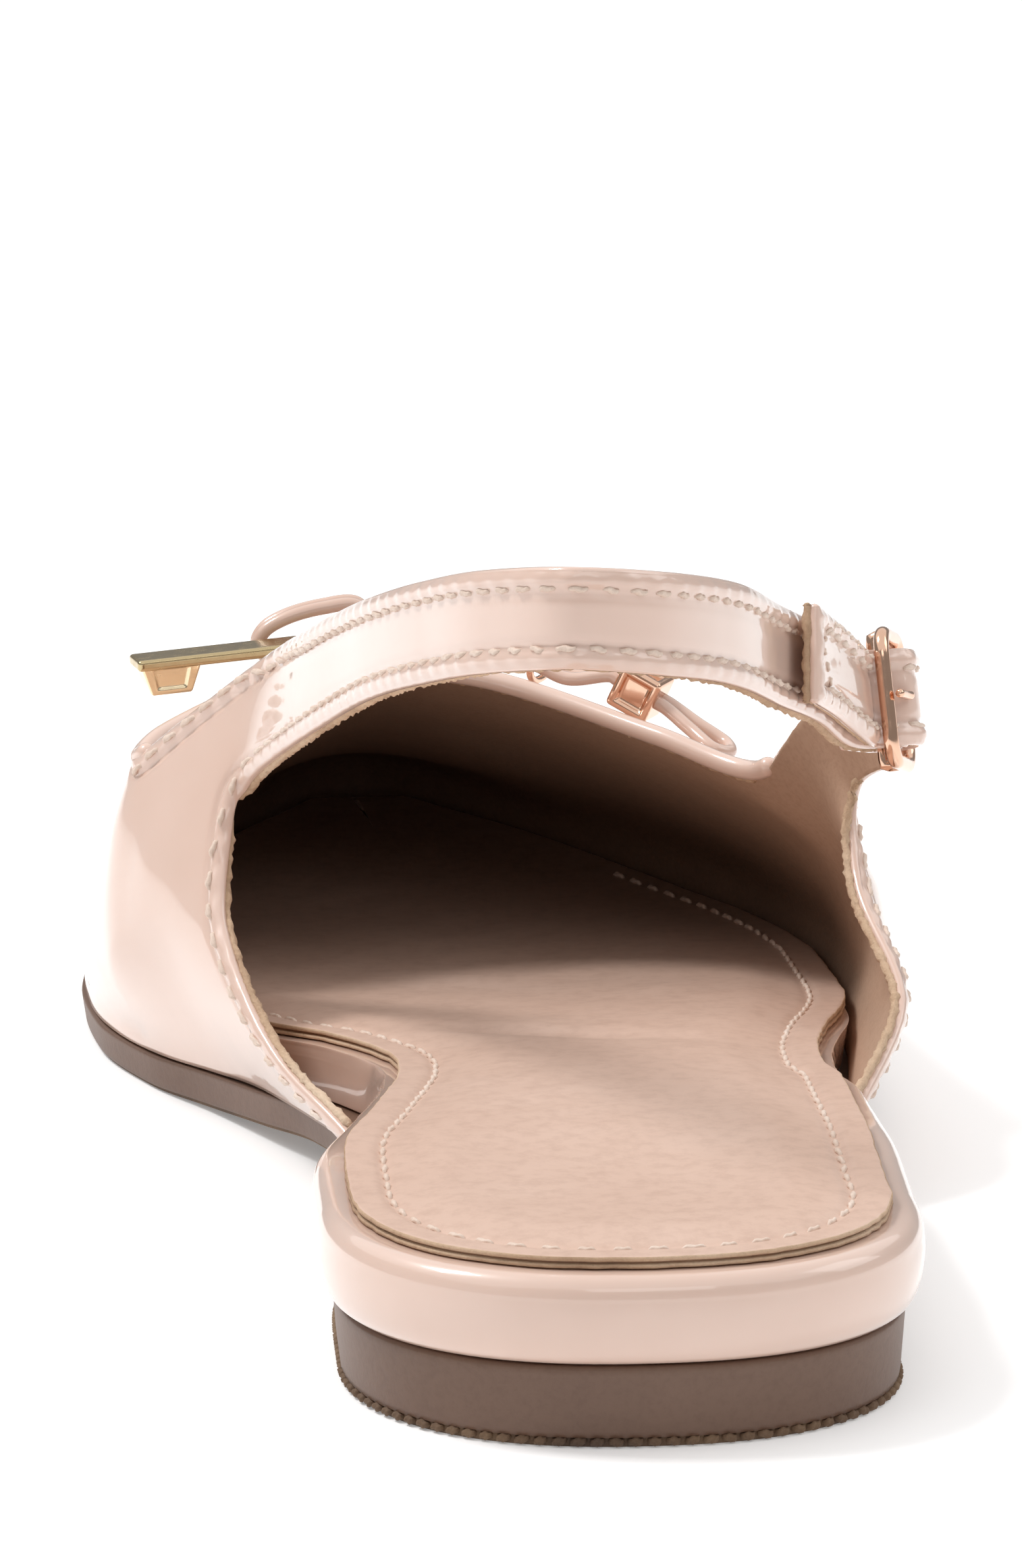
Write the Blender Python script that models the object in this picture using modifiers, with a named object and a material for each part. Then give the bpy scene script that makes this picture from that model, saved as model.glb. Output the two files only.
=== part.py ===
"""Sling back flat, right shoe, stood empty on its sole.

The origin is the middle of the heel's bearing face, on the ground. +Y runs to the toe,
+X to the outer side of the foot and +Z up. All sizes are in metres.

A flat is built on a last, so every piece here is worked out from the last's main sizes:
length, ball width, heel width, and the heights of heel, throat and heel strap.
"""

from collections import namedtuple

import bmesh
import bpy
import numpy as np

MM = 0.001

# The last's main sizes
SHOE_LENGTH = 264.0 * MM
HEEL_REACH = 30.2 * MM
BALL_WIDTH = 87.0 * MM
HEEL_WIDTH = 58.6 * MM
HEEL_HEIGHT = 8.5 * MM
THROAT_HEIGHT = 45.0 * MM
STRAP_HEIGHT = 76.3 * MM
WAIST_CLEARANCE = 4.0 * MM
TOE_SPRING = 5.6 * MM

# Thicknesses and widths of the pieces
SOLE_EDGE = 4.0 * MM
SOLE_DRAFT = 0.7 * MM
SOLE_ROUND = 0.6 * MM
RAND_HEIGHT = 9.2 * MM
RAND_BULGE = 1.9 * MM
INSOLE_THICKNESS = 1.1 * MM
INSOLE_INSET = 1.5 * MM
UPPER_WALL = 1.5 * MM
UPPER_INSET = 0.4 * MM
STRAP_WIDTH = 10.0 * MM
PIPING_RADIUS = 1.15 * MM
FIT_GAP = 0.3 * MM

# Buckle
BUCKLE_PLACE = (0.446, 0.274, 0.711)
BUCKLE_LENGTH = 14.0 * MM
BUCKLE_WIDTH = 15.6 * MM
BUCKLE_WIRE = 1.7 * MM
BAR_RADIUS = 0.8 * MM
PRONG_RADIUS = 0.5 * MM

# Bow
CORD_RADIUS = 0.8 * MM
CORD_LEAD = 1.6 * MM
BEAD_SIZE = 5.6 * MM
BEAD_FRAME = 0.9 * MM
BEAD_RECESS = 0.5 * MM
PLATE_THICKNESS = 1.3 * MM
PLATE_LENGTH = 23.0 * MM
PLATE_WIDTH = 5.0 * MM
TIP_LENGTH = 7.4 * MM
TIP_HEIGHT = 3.6 * MM
TIP_TAPER = 0.62
TIP_INSET = 0.3 * MM
RING_WIRE = 0.45 * MM
KNOT_RADIUS = 3.6 * MM
KNOT_WIDTH = 8.0 * MM

TOE_X = -0.069
TOE_Y = SHOE_LENGTH - HEEL_REACH

# Sole, seen from above: how far its edge lies from the middle line on either side.
# at is a share of the shoe's length from the origin, inner and outer are shares of a width.
EdgeRow = namedtuple("EdgeRow", "at inner outer")
HEEL_EDGE = [
    EdgeRow(0.000, 0.500, 0.493),
    EdgeRow(0.076, 0.478, 0.515),
    EdgeRow(0.152, 0.425, 0.539),
]
FORE_EDGE = [
    EdgeRow(0.265, 0.253, 0.402),
    EdgeRow(0.322, 0.282, 0.430),
    EdgeRow(0.367, 0.328, 0.455),
    EdgeRow(0.424, 0.389, 0.476),
    EdgeRow(0.473, 0.454, 0.487),
    EdgeRow(0.538, 0.505, 0.490),
    EdgeRow(0.587, 0.513, 0.478),
    EdgeRow(0.644, 0.494, 0.439),
    EdgeRow(0.701, 0.446, 0.361),
    EdgeRow(0.758, 0.368, 0.267),
    EdgeRow(0.807, 0.279, 0.170),
    EdgeRow(0.848, 0.193, 0.076),
]

# Sole, seen from the side. waist is a share of the clearance under the arch, rise a share of
# what the heel stands above the forepart, spring a share of the toe spring and bed a share of
# the platform's height.
SideRow = namedtuple("SideRow", "at waist rise spring bed")
SOLE_SIDE = [
    SideRow(-0.120, 0.00, 1.00, 0.00, 1.00),
    SideRow(0.076, 0.00, 1.00, 0.00, 1.00),
    SideRow(0.140, 0.00, 0.98, 0.00, 0.92),
    SideRow(0.163, 0.88, 0.95, 0.00, 0.89),
    SideRow(0.227, 1.00, 0.86, 0.00, 0.78),
    SideRow(0.322, 0.75, 0.64, 0.00, 0.67),
    SideRow(0.379, 0.40, 0.38, 0.00, 0.65),
    SideRow(0.436, 0.10, 0.14, 0.00, 0.61),
    SideRow(0.485, 0.00, 0.02, 0.00, 0.56),
    SideRow(0.568, 0.00, 0.00, 0.00, 0.43),
    SideRow(0.644, 0.00, 0.00, 0.08, 0.29),
    SideRow(0.720, 0.00, 0.00, 0.30, 0.20),
    SideRow(0.795, 0.00, 0.00, 0.62, 0.15),
    SideRow(0.886, 0.00, 0.00, 1.00, 0.11),
]

# Platform: how far its foot lies inside the sole's edge, as shares of the ball width, how much
# its side swells, and how far its top spreads past its foot where the upper leans out.
BedRow = namedtuple("BedRow", "at inner outer swell spread_in spread_out")
BED_EDGE = [
    BedRow(-0.120, 0.000, 0.000, 1.00, 0.000, 0.000),
    BedRow(0.060, 0.000, 0.000, 1.00, 0.000, 0.000),
    BedRow(0.200, 0.037, 0.010, 0.45, 0.000, 0.000),
    BedRow(0.235, 0.048, 0.030, 0.25, 0.000, 0.000),
    BedRow(0.285, 0.054, 0.036, 0.10, 0.000, 0.000),
    BedRow(0.340, 0.040, 0.034, 0.00, 0.006, 0.006),
    BedRow(0.379, 0.032, 0.032, 0.00, 0.020, 0.010),
    BedRow(0.436, 0.032, 0.032, 0.00, 0.020, 0.004),
    BedRow(0.500, 0.032, 0.032, 0.00, 0.004, 0.000),
    BedRow(0.760, 0.036, 0.036, 0.00, 0.000, 0.000),
    BedRow(0.886, 0.052, 0.052, 0.00, 0.000, 0.000),
]

# Upper: one row for each rib, from the inner back edge round the toe to the outer back edge.
# foot_y is where the rib leaves the sole's edge. wall, shoulder and top are points on its
# outer face: x in ball widths, y in shoe lengths and z in throat heights.
RibRow = namedtuple(
    "RibRow", "name foot_y wall_x wall_y wall_z shoulder_x shoulder_y shoulder_z top_x top_y top_z"
)
RIBS = [
    RibRow("inner back edge", 0.250, -0.318, 0.295, 0.267, -0.380, 0.371, 0.600, -0.345, 0.398, 0.900),
    RibRow("inner ear", 0.371, -0.437, 0.402, 0.444, -0.420, 0.409, 0.822, -0.290, 0.398, 1.218),
    RibRow("inner slope", 0.417, -0.475, 0.432, 0.422, -0.460, 0.434, 0.756, -0.379, 0.429, 1.058),
    RibRow("inner low point", 0.460, -0.501, 0.458, 0.356, -0.498, 0.458, 0.667, -0.467, 0.458, 0.871),
    RibRow("inner joint", 0.508, -0.517, 0.504, 0.311, -0.501, 0.496, 0.600, -0.437, 0.485, 0.893),
    RibRow("inner ball", 0.568, -0.521, 0.561, 0.289, -0.474, 0.545, 0.600, -0.328, 0.521, 0.951),
    RibRow("inner toes", 0.652, -0.490, 0.644, 0.289, -0.385, 0.610, 0.600, -0.224, 0.538, 0.991),
    RibRow("inner toe side", 0.771, -0.331, 0.758, 0.322, -0.259, 0.674, 0.600, -0.167, 0.543, 1.000),
    RibRow("toe tip", 0.886, -0.072, 0.869, 0.378, -0.092, 0.731, 0.578, -0.115, 0.545, 1.002),
    RibRow("outer toe side", 0.777, 0.218, 0.765, 0.322, 0.103, 0.674, 0.589, -0.046, 0.540, 0.996),
    RibRow("outer toes", 0.663, 0.420, 0.655, 0.289, 0.259, 0.610, 0.589, 0.034, 0.530, 0.976),
    RibRow("outer ball", 0.568, 0.494, 0.561, 0.289, 0.379, 0.542, 0.589, 0.126, 0.513, 0.933),
    RibRow("outer joint", 0.504, 0.501, 0.500, 0.300, 0.437, 0.492, 0.589, 0.241, 0.481, 0.876),
    RibRow("outer low point", 0.451, 0.500, 0.451, 0.311, 0.466, 0.449, 0.589, 0.359, 0.443, 0.827),
    RibRow("outer ear", 0.352, 0.494, 0.375, 0.400, 0.463, 0.394, 0.711, 0.379, 0.379, 1.133),
    RibRow("outer back edge", 0.235, 0.468, 0.284, 0.433, 0.441, 0.352, 0.644, 0.445, 0.396, 0.889),
]

# Straps, along the middle of their outer faces: x in ball widths, y in shoe lengths, z in
# strap heights, lean the share by which the upper edge tips outwards and width in strap widths.
StrapRow = namedtuple("StrapRow", "x y z lean width")
HEEL_STRAP = [
    StrapRow(-0.293, 0.333, 0.704, 0.14, 1.18),
    StrapRow(-0.264, 0.265, 0.784, 0.04, 1.06),
    StrapRow(-0.236, 0.197, 0.857, 0.00, 1.00),
    StrapRow(-0.195, 0.133, 0.920, 0.00, 1.00),
    StrapRow(-0.138, 0.076, 0.972, 0.00, 1.00),
    StrapRow(-0.046, 0.038, 1.000, 0.00, 1.00),
    StrapRow(0.057, 0.049, 0.984, 0.00, 1.00),
    StrapRow(0.172, 0.100, 0.933, -0.02, 1.00),
    StrapRow(0.264, 0.170, 0.850, -0.08, 1.00),
    StrapRow(0.325, 0.214, 0.796, -0.14, 1.00),
]
EAR_STRAP = [
    StrapRow(0.448, 0.360, 0.621, -0.30, 1.15),
    StrapRow(0.469, 0.330, 0.651, -0.22, 1.02),
]
TAB = [
    StrapRow(0.351, 0.212, 0.800, -0.14, 1.00),
    StrapRow(0.305, 0.173, 0.852, -0.08, 1.00),
]
BUCKLE_RUN = (0.29, 0.92, -0.27)
BUCKLE_LEAN = -0.16

# Bow: places in ball widths, shoe lengths and throat heights
Place = namedtuple("Place", "x y z")
KNOT_PLACE = Place(-0.064, 0.563, 1.044)
INNER_LOOP = [
    Place(-0.146, 0.5625, 1.138),
    Place(-0.194, 0.5610, 1.136),
    Place(-0.244, 0.5595, 1.112),
    Place(-0.272, 0.5590, 1.080),
    Place(-0.281, 0.5590, 1.042),
    Place(-0.262, 0.5595, 1.004),
    Place(-0.210, 0.5610, 0.986),
    Place(-0.152, 0.5625, 1.004),
]
OUTER_STRAND = [
    Place(0.046, 0.548, 1.010),
    Place(0.092, 0.537, 1.000),
    Place(0.128, 0.530, 0.973),
]
BEAD_PLACE = Place(0.218, 0.519, 0.948)
BEAD_RUN = (0.78, -0.40, -0.42)
OUTER_END = [
    Place(0.284, 0.504, 0.868),
    Place(0.315, 0.494, 0.828),
]
PLATE_START = Place(-0.452, 0.5310, 1.033)
PLATE_RUN = (0.985, 0.15, 0.06)
KNOT_RUN = (1.0, -0.05, 0.0)

RIB_STEPS = 4
RIB_SHARES = [0.00, 0.04, 0.10, 0.18, 0.27, 0.36, 0.46, 0.56, 0.67, 0.78, 0.89, 1.00]
STRAP_STEPS = 3

COLOURS = {
    "patent": (0.86, 0.70, 0.62, 0.10, 0.0),
    "brown sole": (0.17, 0.10, 0.07, 0.55, 0.0),
    "insole leather": (0.68, 0.50, 0.38, 0.60, 0.0),
    "rose gold": (0.86, 0.58, 0.40, 0.18, 1.0),
}


def unit(vector):
    """The vector at length one, for one vector or a row of them."""
    vector = np.asarray(vector, float)
    return vector / np.linalg.norm(vector, axis=-1, keepdims=True)


def smooth(points, steps, closed=False):
    """A centripetal Catmull-Rom curve through the points, with steps pieces between each two."""
    points = np.asarray(points, float)
    if closed:
        points = np.concatenate([points[-1:], points, points[:2]])
    else:
        before, after = 2 * points[:1] - points[1:2], 2 * points[-1:] - points[-2:-1]
        points = np.concatenate([before, points, after])
    flat = points.reshape(len(points), -1)
    knots = np.concatenate([[0], np.cumsum(np.linalg.norm(np.diff(flat, axis=0), axis=1) ** 0.5)])
    out = []
    for i in range(1, len(points) - 2):
        p0, p1, p2, p3 = flat[i - 1 : i + 3]
        k0, k1, k2, k3 = knots[i - 1 : i + 3]
        k = np.linspace(k1, k2, steps, endpoint=False)[:, None]
        a1 = (k1 - k) / (k1 - k0) * p0 + (k - k0) / (k1 - k0) * p1
        a2 = (k2 - k) / (k2 - k1) * p1 + (k - k1) / (k2 - k1) * p2
        a3 = (k3 - k) / (k3 - k2) * p2 + (k - k2) / (k3 - k2) * p3
        b1 = (k2 - k) / (k2 - k0) * a1 + (k - k0) / (k2 - k0) * a2
        b2 = (k3 - k) / (k3 - k1) * a2 + (k - k1) / (k3 - k1) * a3
        out.append((k2 - k) / (k2 - k1) * b1 + (k - k1) / (k2 - k1) * b2)
    if not closed:
        out.append(flat[-2][None])
    return np.vstack(out).reshape((-1,) + points.shape[1:])


def along(points, shares):
    """The points of a path at the given shares of its length."""
    length = np.concatenate([[0], np.cumsum(np.linalg.norm(np.diff(points, axis=0), axis=1))])
    at = np.asarray(shares) * length[-1]
    return np.stack([np.interp(at, length, points[:, k]) for k in range(points.shape[1])], 1)


def column(rows, name, y):
    """A table's column at y, by cubics that keep level where two rows are equal."""
    at = np.array([row.at for row in rows]) * SHOE_LENGTH
    value = np.array([getattr(row, name) for row in rows])
    return cubic(at, value, y)


def cubic(at, value, y):
    """Monotone cubic interpolation of value over at."""
    step = np.diff(at)
    slope = np.diff(value) / step
    same = slope[:-1] * slope[1:] > 0
    mean = np.where(same, 2 * slope[:-1] * slope[1:] / np.where(same, slope[:-1] + slope[1:], 1), 0)
    tangent = np.concatenate([[slope[0]], mean, [slope[-1]]])
    y = np.clip(y, at[0], at[-1])
    i = np.clip(np.searchsorted(at, y, side="right") - 1, 0, len(at) - 2)
    h = step[i]
    t = (y - at[i]) / h
    return (
        (2 * t**3 - 3 * t**2 + 1) * value[i]
        + (t**3 - 2 * t**2 + t) * h * tangent[i]
        + (3 * t**2 - 2 * t**3) * value[i + 1]
        + (t**3 - t**2) * h * tangent[i + 1]
    )


def sole_edge(side, y):
    """Sideways place of the sole's edge at y: side is -1 for the inner edge, 1 for the outer."""
    y = np.asarray(y, float)
    name = "inner" if side < 0 else "outer"
    at = np.array([row.at for row in HEEL_EDGE + FORE_EDGE]) * SHOE_LENGTH
    reach = [getattr(row, name) * HEEL_WIDTH for row in HEEL_EDGE]
    reach += [getattr(row, name) * BALL_WIDTH for row in FORE_EDGE]
    x = side * cubic(at, np.array(reach), y)
    last = at[-1]
    tip = TOE_X * BALL_WIDTH
    closing = np.sqrt(np.clip((TOE_Y - y) / (TOE_Y - last), 0, 1))
    x = np.where(y > last, tip + (side * reach[-1] - tip) * closing, x)
    heel_round = (1 - np.clip(-y / HEEL_REACH, 0, 1) ** 2.3) ** (1 / 2.3)
    return np.where(y < 0, side * reach[0] * heel_round, x)


def sole_under(y):
    """Height of the sole's underside."""
    return column(SOLE_SIDE, "waist", y) * WAIST_CLEARANCE + column(SOLE_SIDE, "spring", y) * TOE_SPRING


def sole_top(y):
    """Height of the sole's upper face, which carries the platform and the upper."""
    lift = column(SOLE_SIDE, "rise", y) * (HEEL_HEIGHT - SOLE_EDGE)
    return SOLE_EDGE + lift + column(SOLE_SIDE, "spring", y) * TOE_SPRING


def bed_top(y):
    """Height of the platform's upper face, which carries the insole."""
    return sole_top(y) + FIT_GAP + column(SOLE_SIDE, "bed", y) * RAND_HEIGHT


def stations():
    """Lengthwise places of the sole's sections, close together at heel and toe."""
    heel = -HEEL_REACH * np.cos(np.radians([7, 18, 30, 42, 54, 66, 78]))
    rows = np.array([row.at for row in SOLE_SIDE]) * SHOE_LENGTH
    waist = np.concatenate([[0], rows[(rows > 0) & (rows < 0.6 * SHOE_LENGTH)]])
    waist = np.sort(np.concatenate([waist, (waist[1:] + waist[:-1]) / 2]))
    toe = TOE_Y - (TOE_Y - waist[-1]) * np.linspace(0.94, 0.03, 15) ** 1.6
    return np.concatenate([heel, waist, toe])


def edge_points(side, inset, y):
    """The sole's edge at the places y, moved square to itself by inset towards the middle."""
    small = 0.05 * MM
    x = sole_edge(side, y)
    ahead = sole_edge(side, np.minimum(y + small, TOE_Y))
    behind = sole_edge(side, np.maximum(y - small, -HEEL_REACH))
    span = np.minimum(y + small, TOE_Y) - np.maximum(y - small, -HEEL_REACH)
    run = unit(np.stack([ahead - behind, span], 1))
    inward = np.stack([-side * run[:, 1], side * run[:, 0]], 1)
    return np.stack([x, y], 1) + inward * np.broadcast_to(inset, y.shape)[:, None]


def new_object(name, mesh, material):
    """Put a mesh into the scene as one named piece."""
    piece = bpy.data.objects.new(name, mesh)
    PIECES.objects.link(piece)
    piece.data.materials.append(MATERIALS[material])
    piece.data.shade_smooth()
    piece.data.set_sharp_from_angle(angle=np.radians(40))
    return piece


def mesh_of(name, vertices, faces):
    """A mesh from arrays, its doubles merged and its faces turned outwards."""
    mesh = bpy.data.meshes.new(name)
    mesh.from_pydata([tuple(v) for v in vertices], [], [tuple(int(i) for i in f) for f in faces])
    form = bmesh.new()
    form.from_mesh(mesh)
    bmesh.ops.remove_doubles(form, verts=form.verts, dist=0.01 * MM)
    bmesh.ops.recalc_face_normals(form, faces=form.faces)
    form.to_mesh(mesh)
    form.free()
    return mesh


def loft(name, rings, material):
    """A closed solid through rings of equal count, with a face across each end ring."""
    count, around = rings.shape[:2]
    i, j = np.meshgrid(np.arange(count - 1), np.arange(around), indexing="ij")
    k = (j + 1) % around
    walls = np.stack([i * around + j, i * around + k, (i + 1) * around + k, (i + 1) * around + j], -1)
    ends = [list(range(around)), list(range((count - 1) * around, count * around))]
    faces = walls.reshape(-1, 4).tolist() + ends
    return new_object(name, mesh_of(name, rings.reshape(-1, 3), faces), material)


def section_rings(profile, width_at, height_at, y):
    """Rings across the shoe: profile gives the outset and height of each point of a side."""
    rings = []
    for side in (-1, 1):
        points = []
        for outset, height in profile:
            plan = edge_points(side, -width_at(side, outset, y), y)
            points.append(np.column_stack([plan, height_at(height, plan[:, 1])]))
        rings.append(np.stack(points, 1))
    return np.concatenate([rings[0], rings[1][:, ::-1]], 1)


def tube(name, path, radius, material, closed=False):
    """A round cord or wire along a path, as a bevelled curve made into a mesh."""
    curve = bpy.data.curves.new(name, "CURVE")
    curve.dimensions = "3D"
    curve.bevel_depth = radius
    curve.bevel_resolution = 2
    curve.use_fill_caps = True
    spline = curve.splines.new("POLY")
    spline.points.add(len(path) - 1)
    spline.points.foreach_set("co", np.column_stack([path, np.ones(len(path))]).ravel())
    spline.use_cyclic_u = closed
    guide = bpy.data.objects.new(name + "_path", curve)
    PIECES.objects.link(guide)
    graph = bpy.context.evaluated_depsgraph_get()
    mesh = bpy.data.meshes.new_from_object(guide.evaluated_get(graph))
    bpy.data.objects.remove(guide)
    form = bmesh.new()
    form.from_mesh(mesh)
    bmesh.ops.remove_doubles(form, verts=form.verts, dist=0.01 * MM)
    bmesh.ops.recalc_face_normals(form, faces=form.faces)
    form.to_mesh(mesh)
    form.free()
    mesh.materials.clear()
    mesh.name = name
    return new_object(name, mesh, material)


def box_mesh(name, size, place, axes, taper=1.0):
    """A box whose size and axes are given, about its middle. taper narrows its lower end."""
    bpy.ops.mesh.primitive_cube_add(size=1)
    box = bpy.context.object
    for holder in box.users_collection:
        holder.objects.unlink(box)
    mesh = box.data
    corners = np.array([v.co[:] for v in mesh.vertices])
    corners[corners[:, 2] < 0, :2] *= taper
    corners = corners * np.asarray(size)
    mesh.vertices.foreach_set("co", (corners @ np.asarray(axes) + np.asarray(place)).ravel())
    mesh.name = name
    bpy.data.objects.remove(box)
    return mesh


def bevel(piece, width, segments=2):
    """Round a piece's sharp edges."""
    step = piece.modifiers.new("Rounded edges", "BEVEL")
    step.width = width
    step.segments = segments
    step.limit_method = "ANGLE"
    step.angle_limit = np.radians(40)


def cut(piece, cutter):
    """Take a cutter's shape out of a piece."""
    CUTTERS.objects.link(cutter)
    cutter.hide_render = True
    cutter.display_type = "WIRE"
    step = piece.modifiers.new("Cut", "BOOLEAN")
    step.operation = "DIFFERENCE"
    step.object = cutter
    step.solver = "EXACT"


def join(piece, extra):
    """Fuse a helper's shape to a piece."""
    CUTTERS.objects.link(extra)
    extra.hide_render = True
    extra.display_type = "WIRE"
    step = piece.modifiers.new("Join", "BOOLEAN")
    step.operation = "UNION"
    step.object = extra
    step.solver = "EXACT"


def outsole():
    """The brown unit sole: low heel, hollowed waist, flat tread and toe spring."""

    def width_at(side, outset, y):
        return outset + 0 * y

    def height_at(share, y):
        under, top = sole_under(y), sole_top(y)
        return under + np.clip(share, 0, 1) * (top - under)

    rounded = SOLE_ROUND / SOLE_EDGE
    profile = [
        (-SOLE_DRAFT - SOLE_ROUND, 0.0),
        (-SOLE_DRAFT, rounded),
        (0.0, 1.0),
    ]
    loft("outsole", section_rings(profile, width_at, height_at, stations()), "brown sole")


def bed_shift(side, y):
    """How far the platform's foot lies inside the sole's edge."""
    name = "inner" if side < 0 else "outer"
    return column(BED_EDGE, name, y) * BALL_WIDTH


def bed_spread(side, y):
    """How far the platform's top spreads past its foot."""
    name = "spread_in" if side < 0 else "spread_out"
    return column(BED_EDGE, name, y) * BALL_WIDTH


def footbed():
    """The platform in patent: a rolled rand at the heel, a plain board inside the upper."""
    swell = lambda y: column(BED_EDGE, "swell", y) * RAND_BULGE

    def width_at(side, outset, y):
        roll, lean = outset
        return roll * swell(y) + lean * bed_spread(side, y) - bed_shift(side, y)

    def height_at(share, y):
        foot = sole_top(y) + FIT_GAP
        return foot + share * (bed_top(y) - foot)

    profile = [
        ((0.05, 0.0), 0.00),
        ((0.60, 0.2), 0.18),
        ((0.95, 0.5), 0.42),
        ((1.00, 0.7), 0.62),
        ((0.75, 0.9), 0.84),
        ((0.10, 1.0), 0.98),
        ((-0.45, 0.95), 1.00),
    ]
    loft("footbed", section_rings(profile, width_at, height_at, bed_stations()), "patent")


def bed_stations():
    """The sole's stations without the last ones, where the upper closes in front of the toes."""
    y = stations()
    return y[y < TOE_Y - 2.5 * UPPER_WALL]


def insole():
    """The thin leather sock on the platform."""

    def width_at(side, outset, y):
        return bed_spread(side, y) * 0.8 - bed_shift(side, y) - INSOLE_INSET - outset

    def height_at(share, y):
        return bed_top(y) + FIT_GAP + share * INSOLE_THICKNESS

    profile = [(0.15 * MM, 0.0), (0.0, 0.5), (0.35 * MM, 1.0)]
    rings = section_rings(profile, width_at, height_at, bed_stations()[:-1])
    loft("insole", rings, "insole leather")


def upper_ribs():
    """The upper's outer face as a grid: ribs round the toe, each from its foot to its top."""
    scale = np.array([BALL_WIDTH, SHOE_LENGTH, THROAT_HEIGHT])
    ribs = []
    for row in RIBS:
        side = 1 if row.name.startswith("outer") else -1
        foot_y = min(row.foot_y * SHOE_LENGTH, TOE_Y - 0.01 * MM)
        plan = edge_points(side, UPPER_INSET, np.array([foot_y]))[0]
        foot = np.array([plan[0], plan[1], sole_top(plan[1]) + FIT_GAP])
        wall = np.array([row.wall_x, row.wall_y, row.wall_z]) * scale
        shoulder = np.array([row.shoulder_x, row.shoulder_y, row.shoulder_z]) * scale
        top = np.array([row.top_x, row.top_y, row.top_z]) * scale
        upright = foot + np.array([0, 0, UPPER_WALL])
        ribs.append(along(smooth([foot, upright, wall, shoulder, top], 12), RIB_SHARES))
    return smooth(ribs, RIB_STEPS)


def buckle_frame_axes():
    """Along the strap, outwards from the foot and across the strap, at the buckle."""
    run = unit(BUCKLE_RUN)
    up = np.array([BUCKLE_LEAN, 0.0, 1.0])
    across = unit(up - run * (up @ run))
    out = np.cross(run, across)
    return run, out, across


def buckle_point(along, out):
    """A point in the buckle's own plane, from the middle of its frame."""
    run, outward, _ = buckle_frame_axes()
    place = np.array(BUCKLE_PLACE) * np.array([BALL_WIDTH, SHOE_LENGTH, STRAP_HEIGHT])
    return place + along * run + out * outward


BAR_SEAT = BAR_RADIUS + FIT_GAP
BAR_DEPTH = -1.7 * MM
HEEL_STRAP_REACH = BAR_SEAT + UPPER_WALL
EAR_STRAP_REACH = HEEL_STRAP_REACH + FIT_GAP + UPPER_WALL
UNDER_FRAME = -(BUCKLE_WIRE / 2 + FIT_GAP)


def strap_path(rows):
    """Places, width directions and widths along a strap's rows."""
    scale = np.array([BALL_WIDTH, SHOE_LENGTH, STRAP_HEIGHT])
    places = np.array([[r.x, r.y, r.z] for r in rows]) * scale
    return [(p, np.array([r.lean, 0.0, 1.0]), r.width * STRAP_WIDTH) for p, r in zip(places, rows)]


def fold_round_bar(reach, start, stop, count):
    """Points round the buckle's bar, from start to stop in degrees, 0 being outwards."""
    _, _, across = buckle_frame_axes()
    points = []
    for angle in np.radians(np.linspace(start, stop, count)):
        place = buckle_point(reach * np.sin(angle), BAR_DEPTH + reach * np.cos(angle))
        points.append((place, across, STRAP_WIDTH))
    return points


def heel_strap_path():
    """From the inner ear round the heel to the buckle's bar, with its end folded back inside."""
    _, _, across = buckle_frame_axes()
    under = UNDER_FRAME - UPPER_WALL - 2 * FIT_GAP
    rows = strap_path(HEEL_STRAP)
    rows.append((buckle_point(-0.48 * BUCKLE_LENGTH, under), across, STRAP_WIDTH))
    rows += fold_round_bar(HEEL_STRAP_REACH, -35, 180, 7)
    back = BAR_DEPTH - HEEL_STRAP_REACH - 0.4 * MM
    rows.append((buckle_point(-0.40 * BUCKLE_LENGTH, back - 1.0 * MM), across, STRAP_WIDTH))
    return rows


def ear_strap_path():
    """From the outer ear over the buckle's bar and back along the heel strap to its free end."""
    _, _, across = buckle_frame_axes()
    rows = strap_path(EAR_STRAP)
    for share in (0.62, 0.38):
        rows.append((buckle_point(share * BUCKLE_LENGTH, UNDER_FRAME - FIT_GAP), across, STRAP_WIDTH))
    rows += fold_round_bar(EAR_STRAP_REACH, 35, -35, 3)
    for share in (-0.37, -0.52):
        rows.append((buckle_point(share * BUCKLE_LENGTH, UNDER_FRAME - FIT_GAP), across, STRAP_WIDTH))
    return rows + strap_path(TAB)


def strap_grid(root, path):
    """A band of points that carries on from the root row along a path.

    root holds the points across the band where it leaves the quarter, from its first edge to
    its last. Each row across has as many points, set square to the path.
    """
    start = root.mean(0)
    first = root[-1] - root[0]
    sign = 1 if first[2] > 0 else -1
    path = [(start, first * sign, np.linalg.norm(first))] + path
    rows = [np.concatenate([place, unit(up) * STRAP_WIDTH, [width]]) for place, up, width in path]
    dense = smooth(rows, STRAP_STEPS)
    places, ups, widths = dense[:, :3], dense[:, 3:6], dense[:, 6]
    run = unit(np.gradient(places, axis=0))
    across = unit(ups - run * np.sum(ups * run, 1, keepdims=True)) * sign
    share = np.linspace(-0.5, 0.5, len(root))
    grid = places[:, None] + across[:, None] * (share[None, :, None] * widths[:, None, None])
    return grid[1:]


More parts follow.
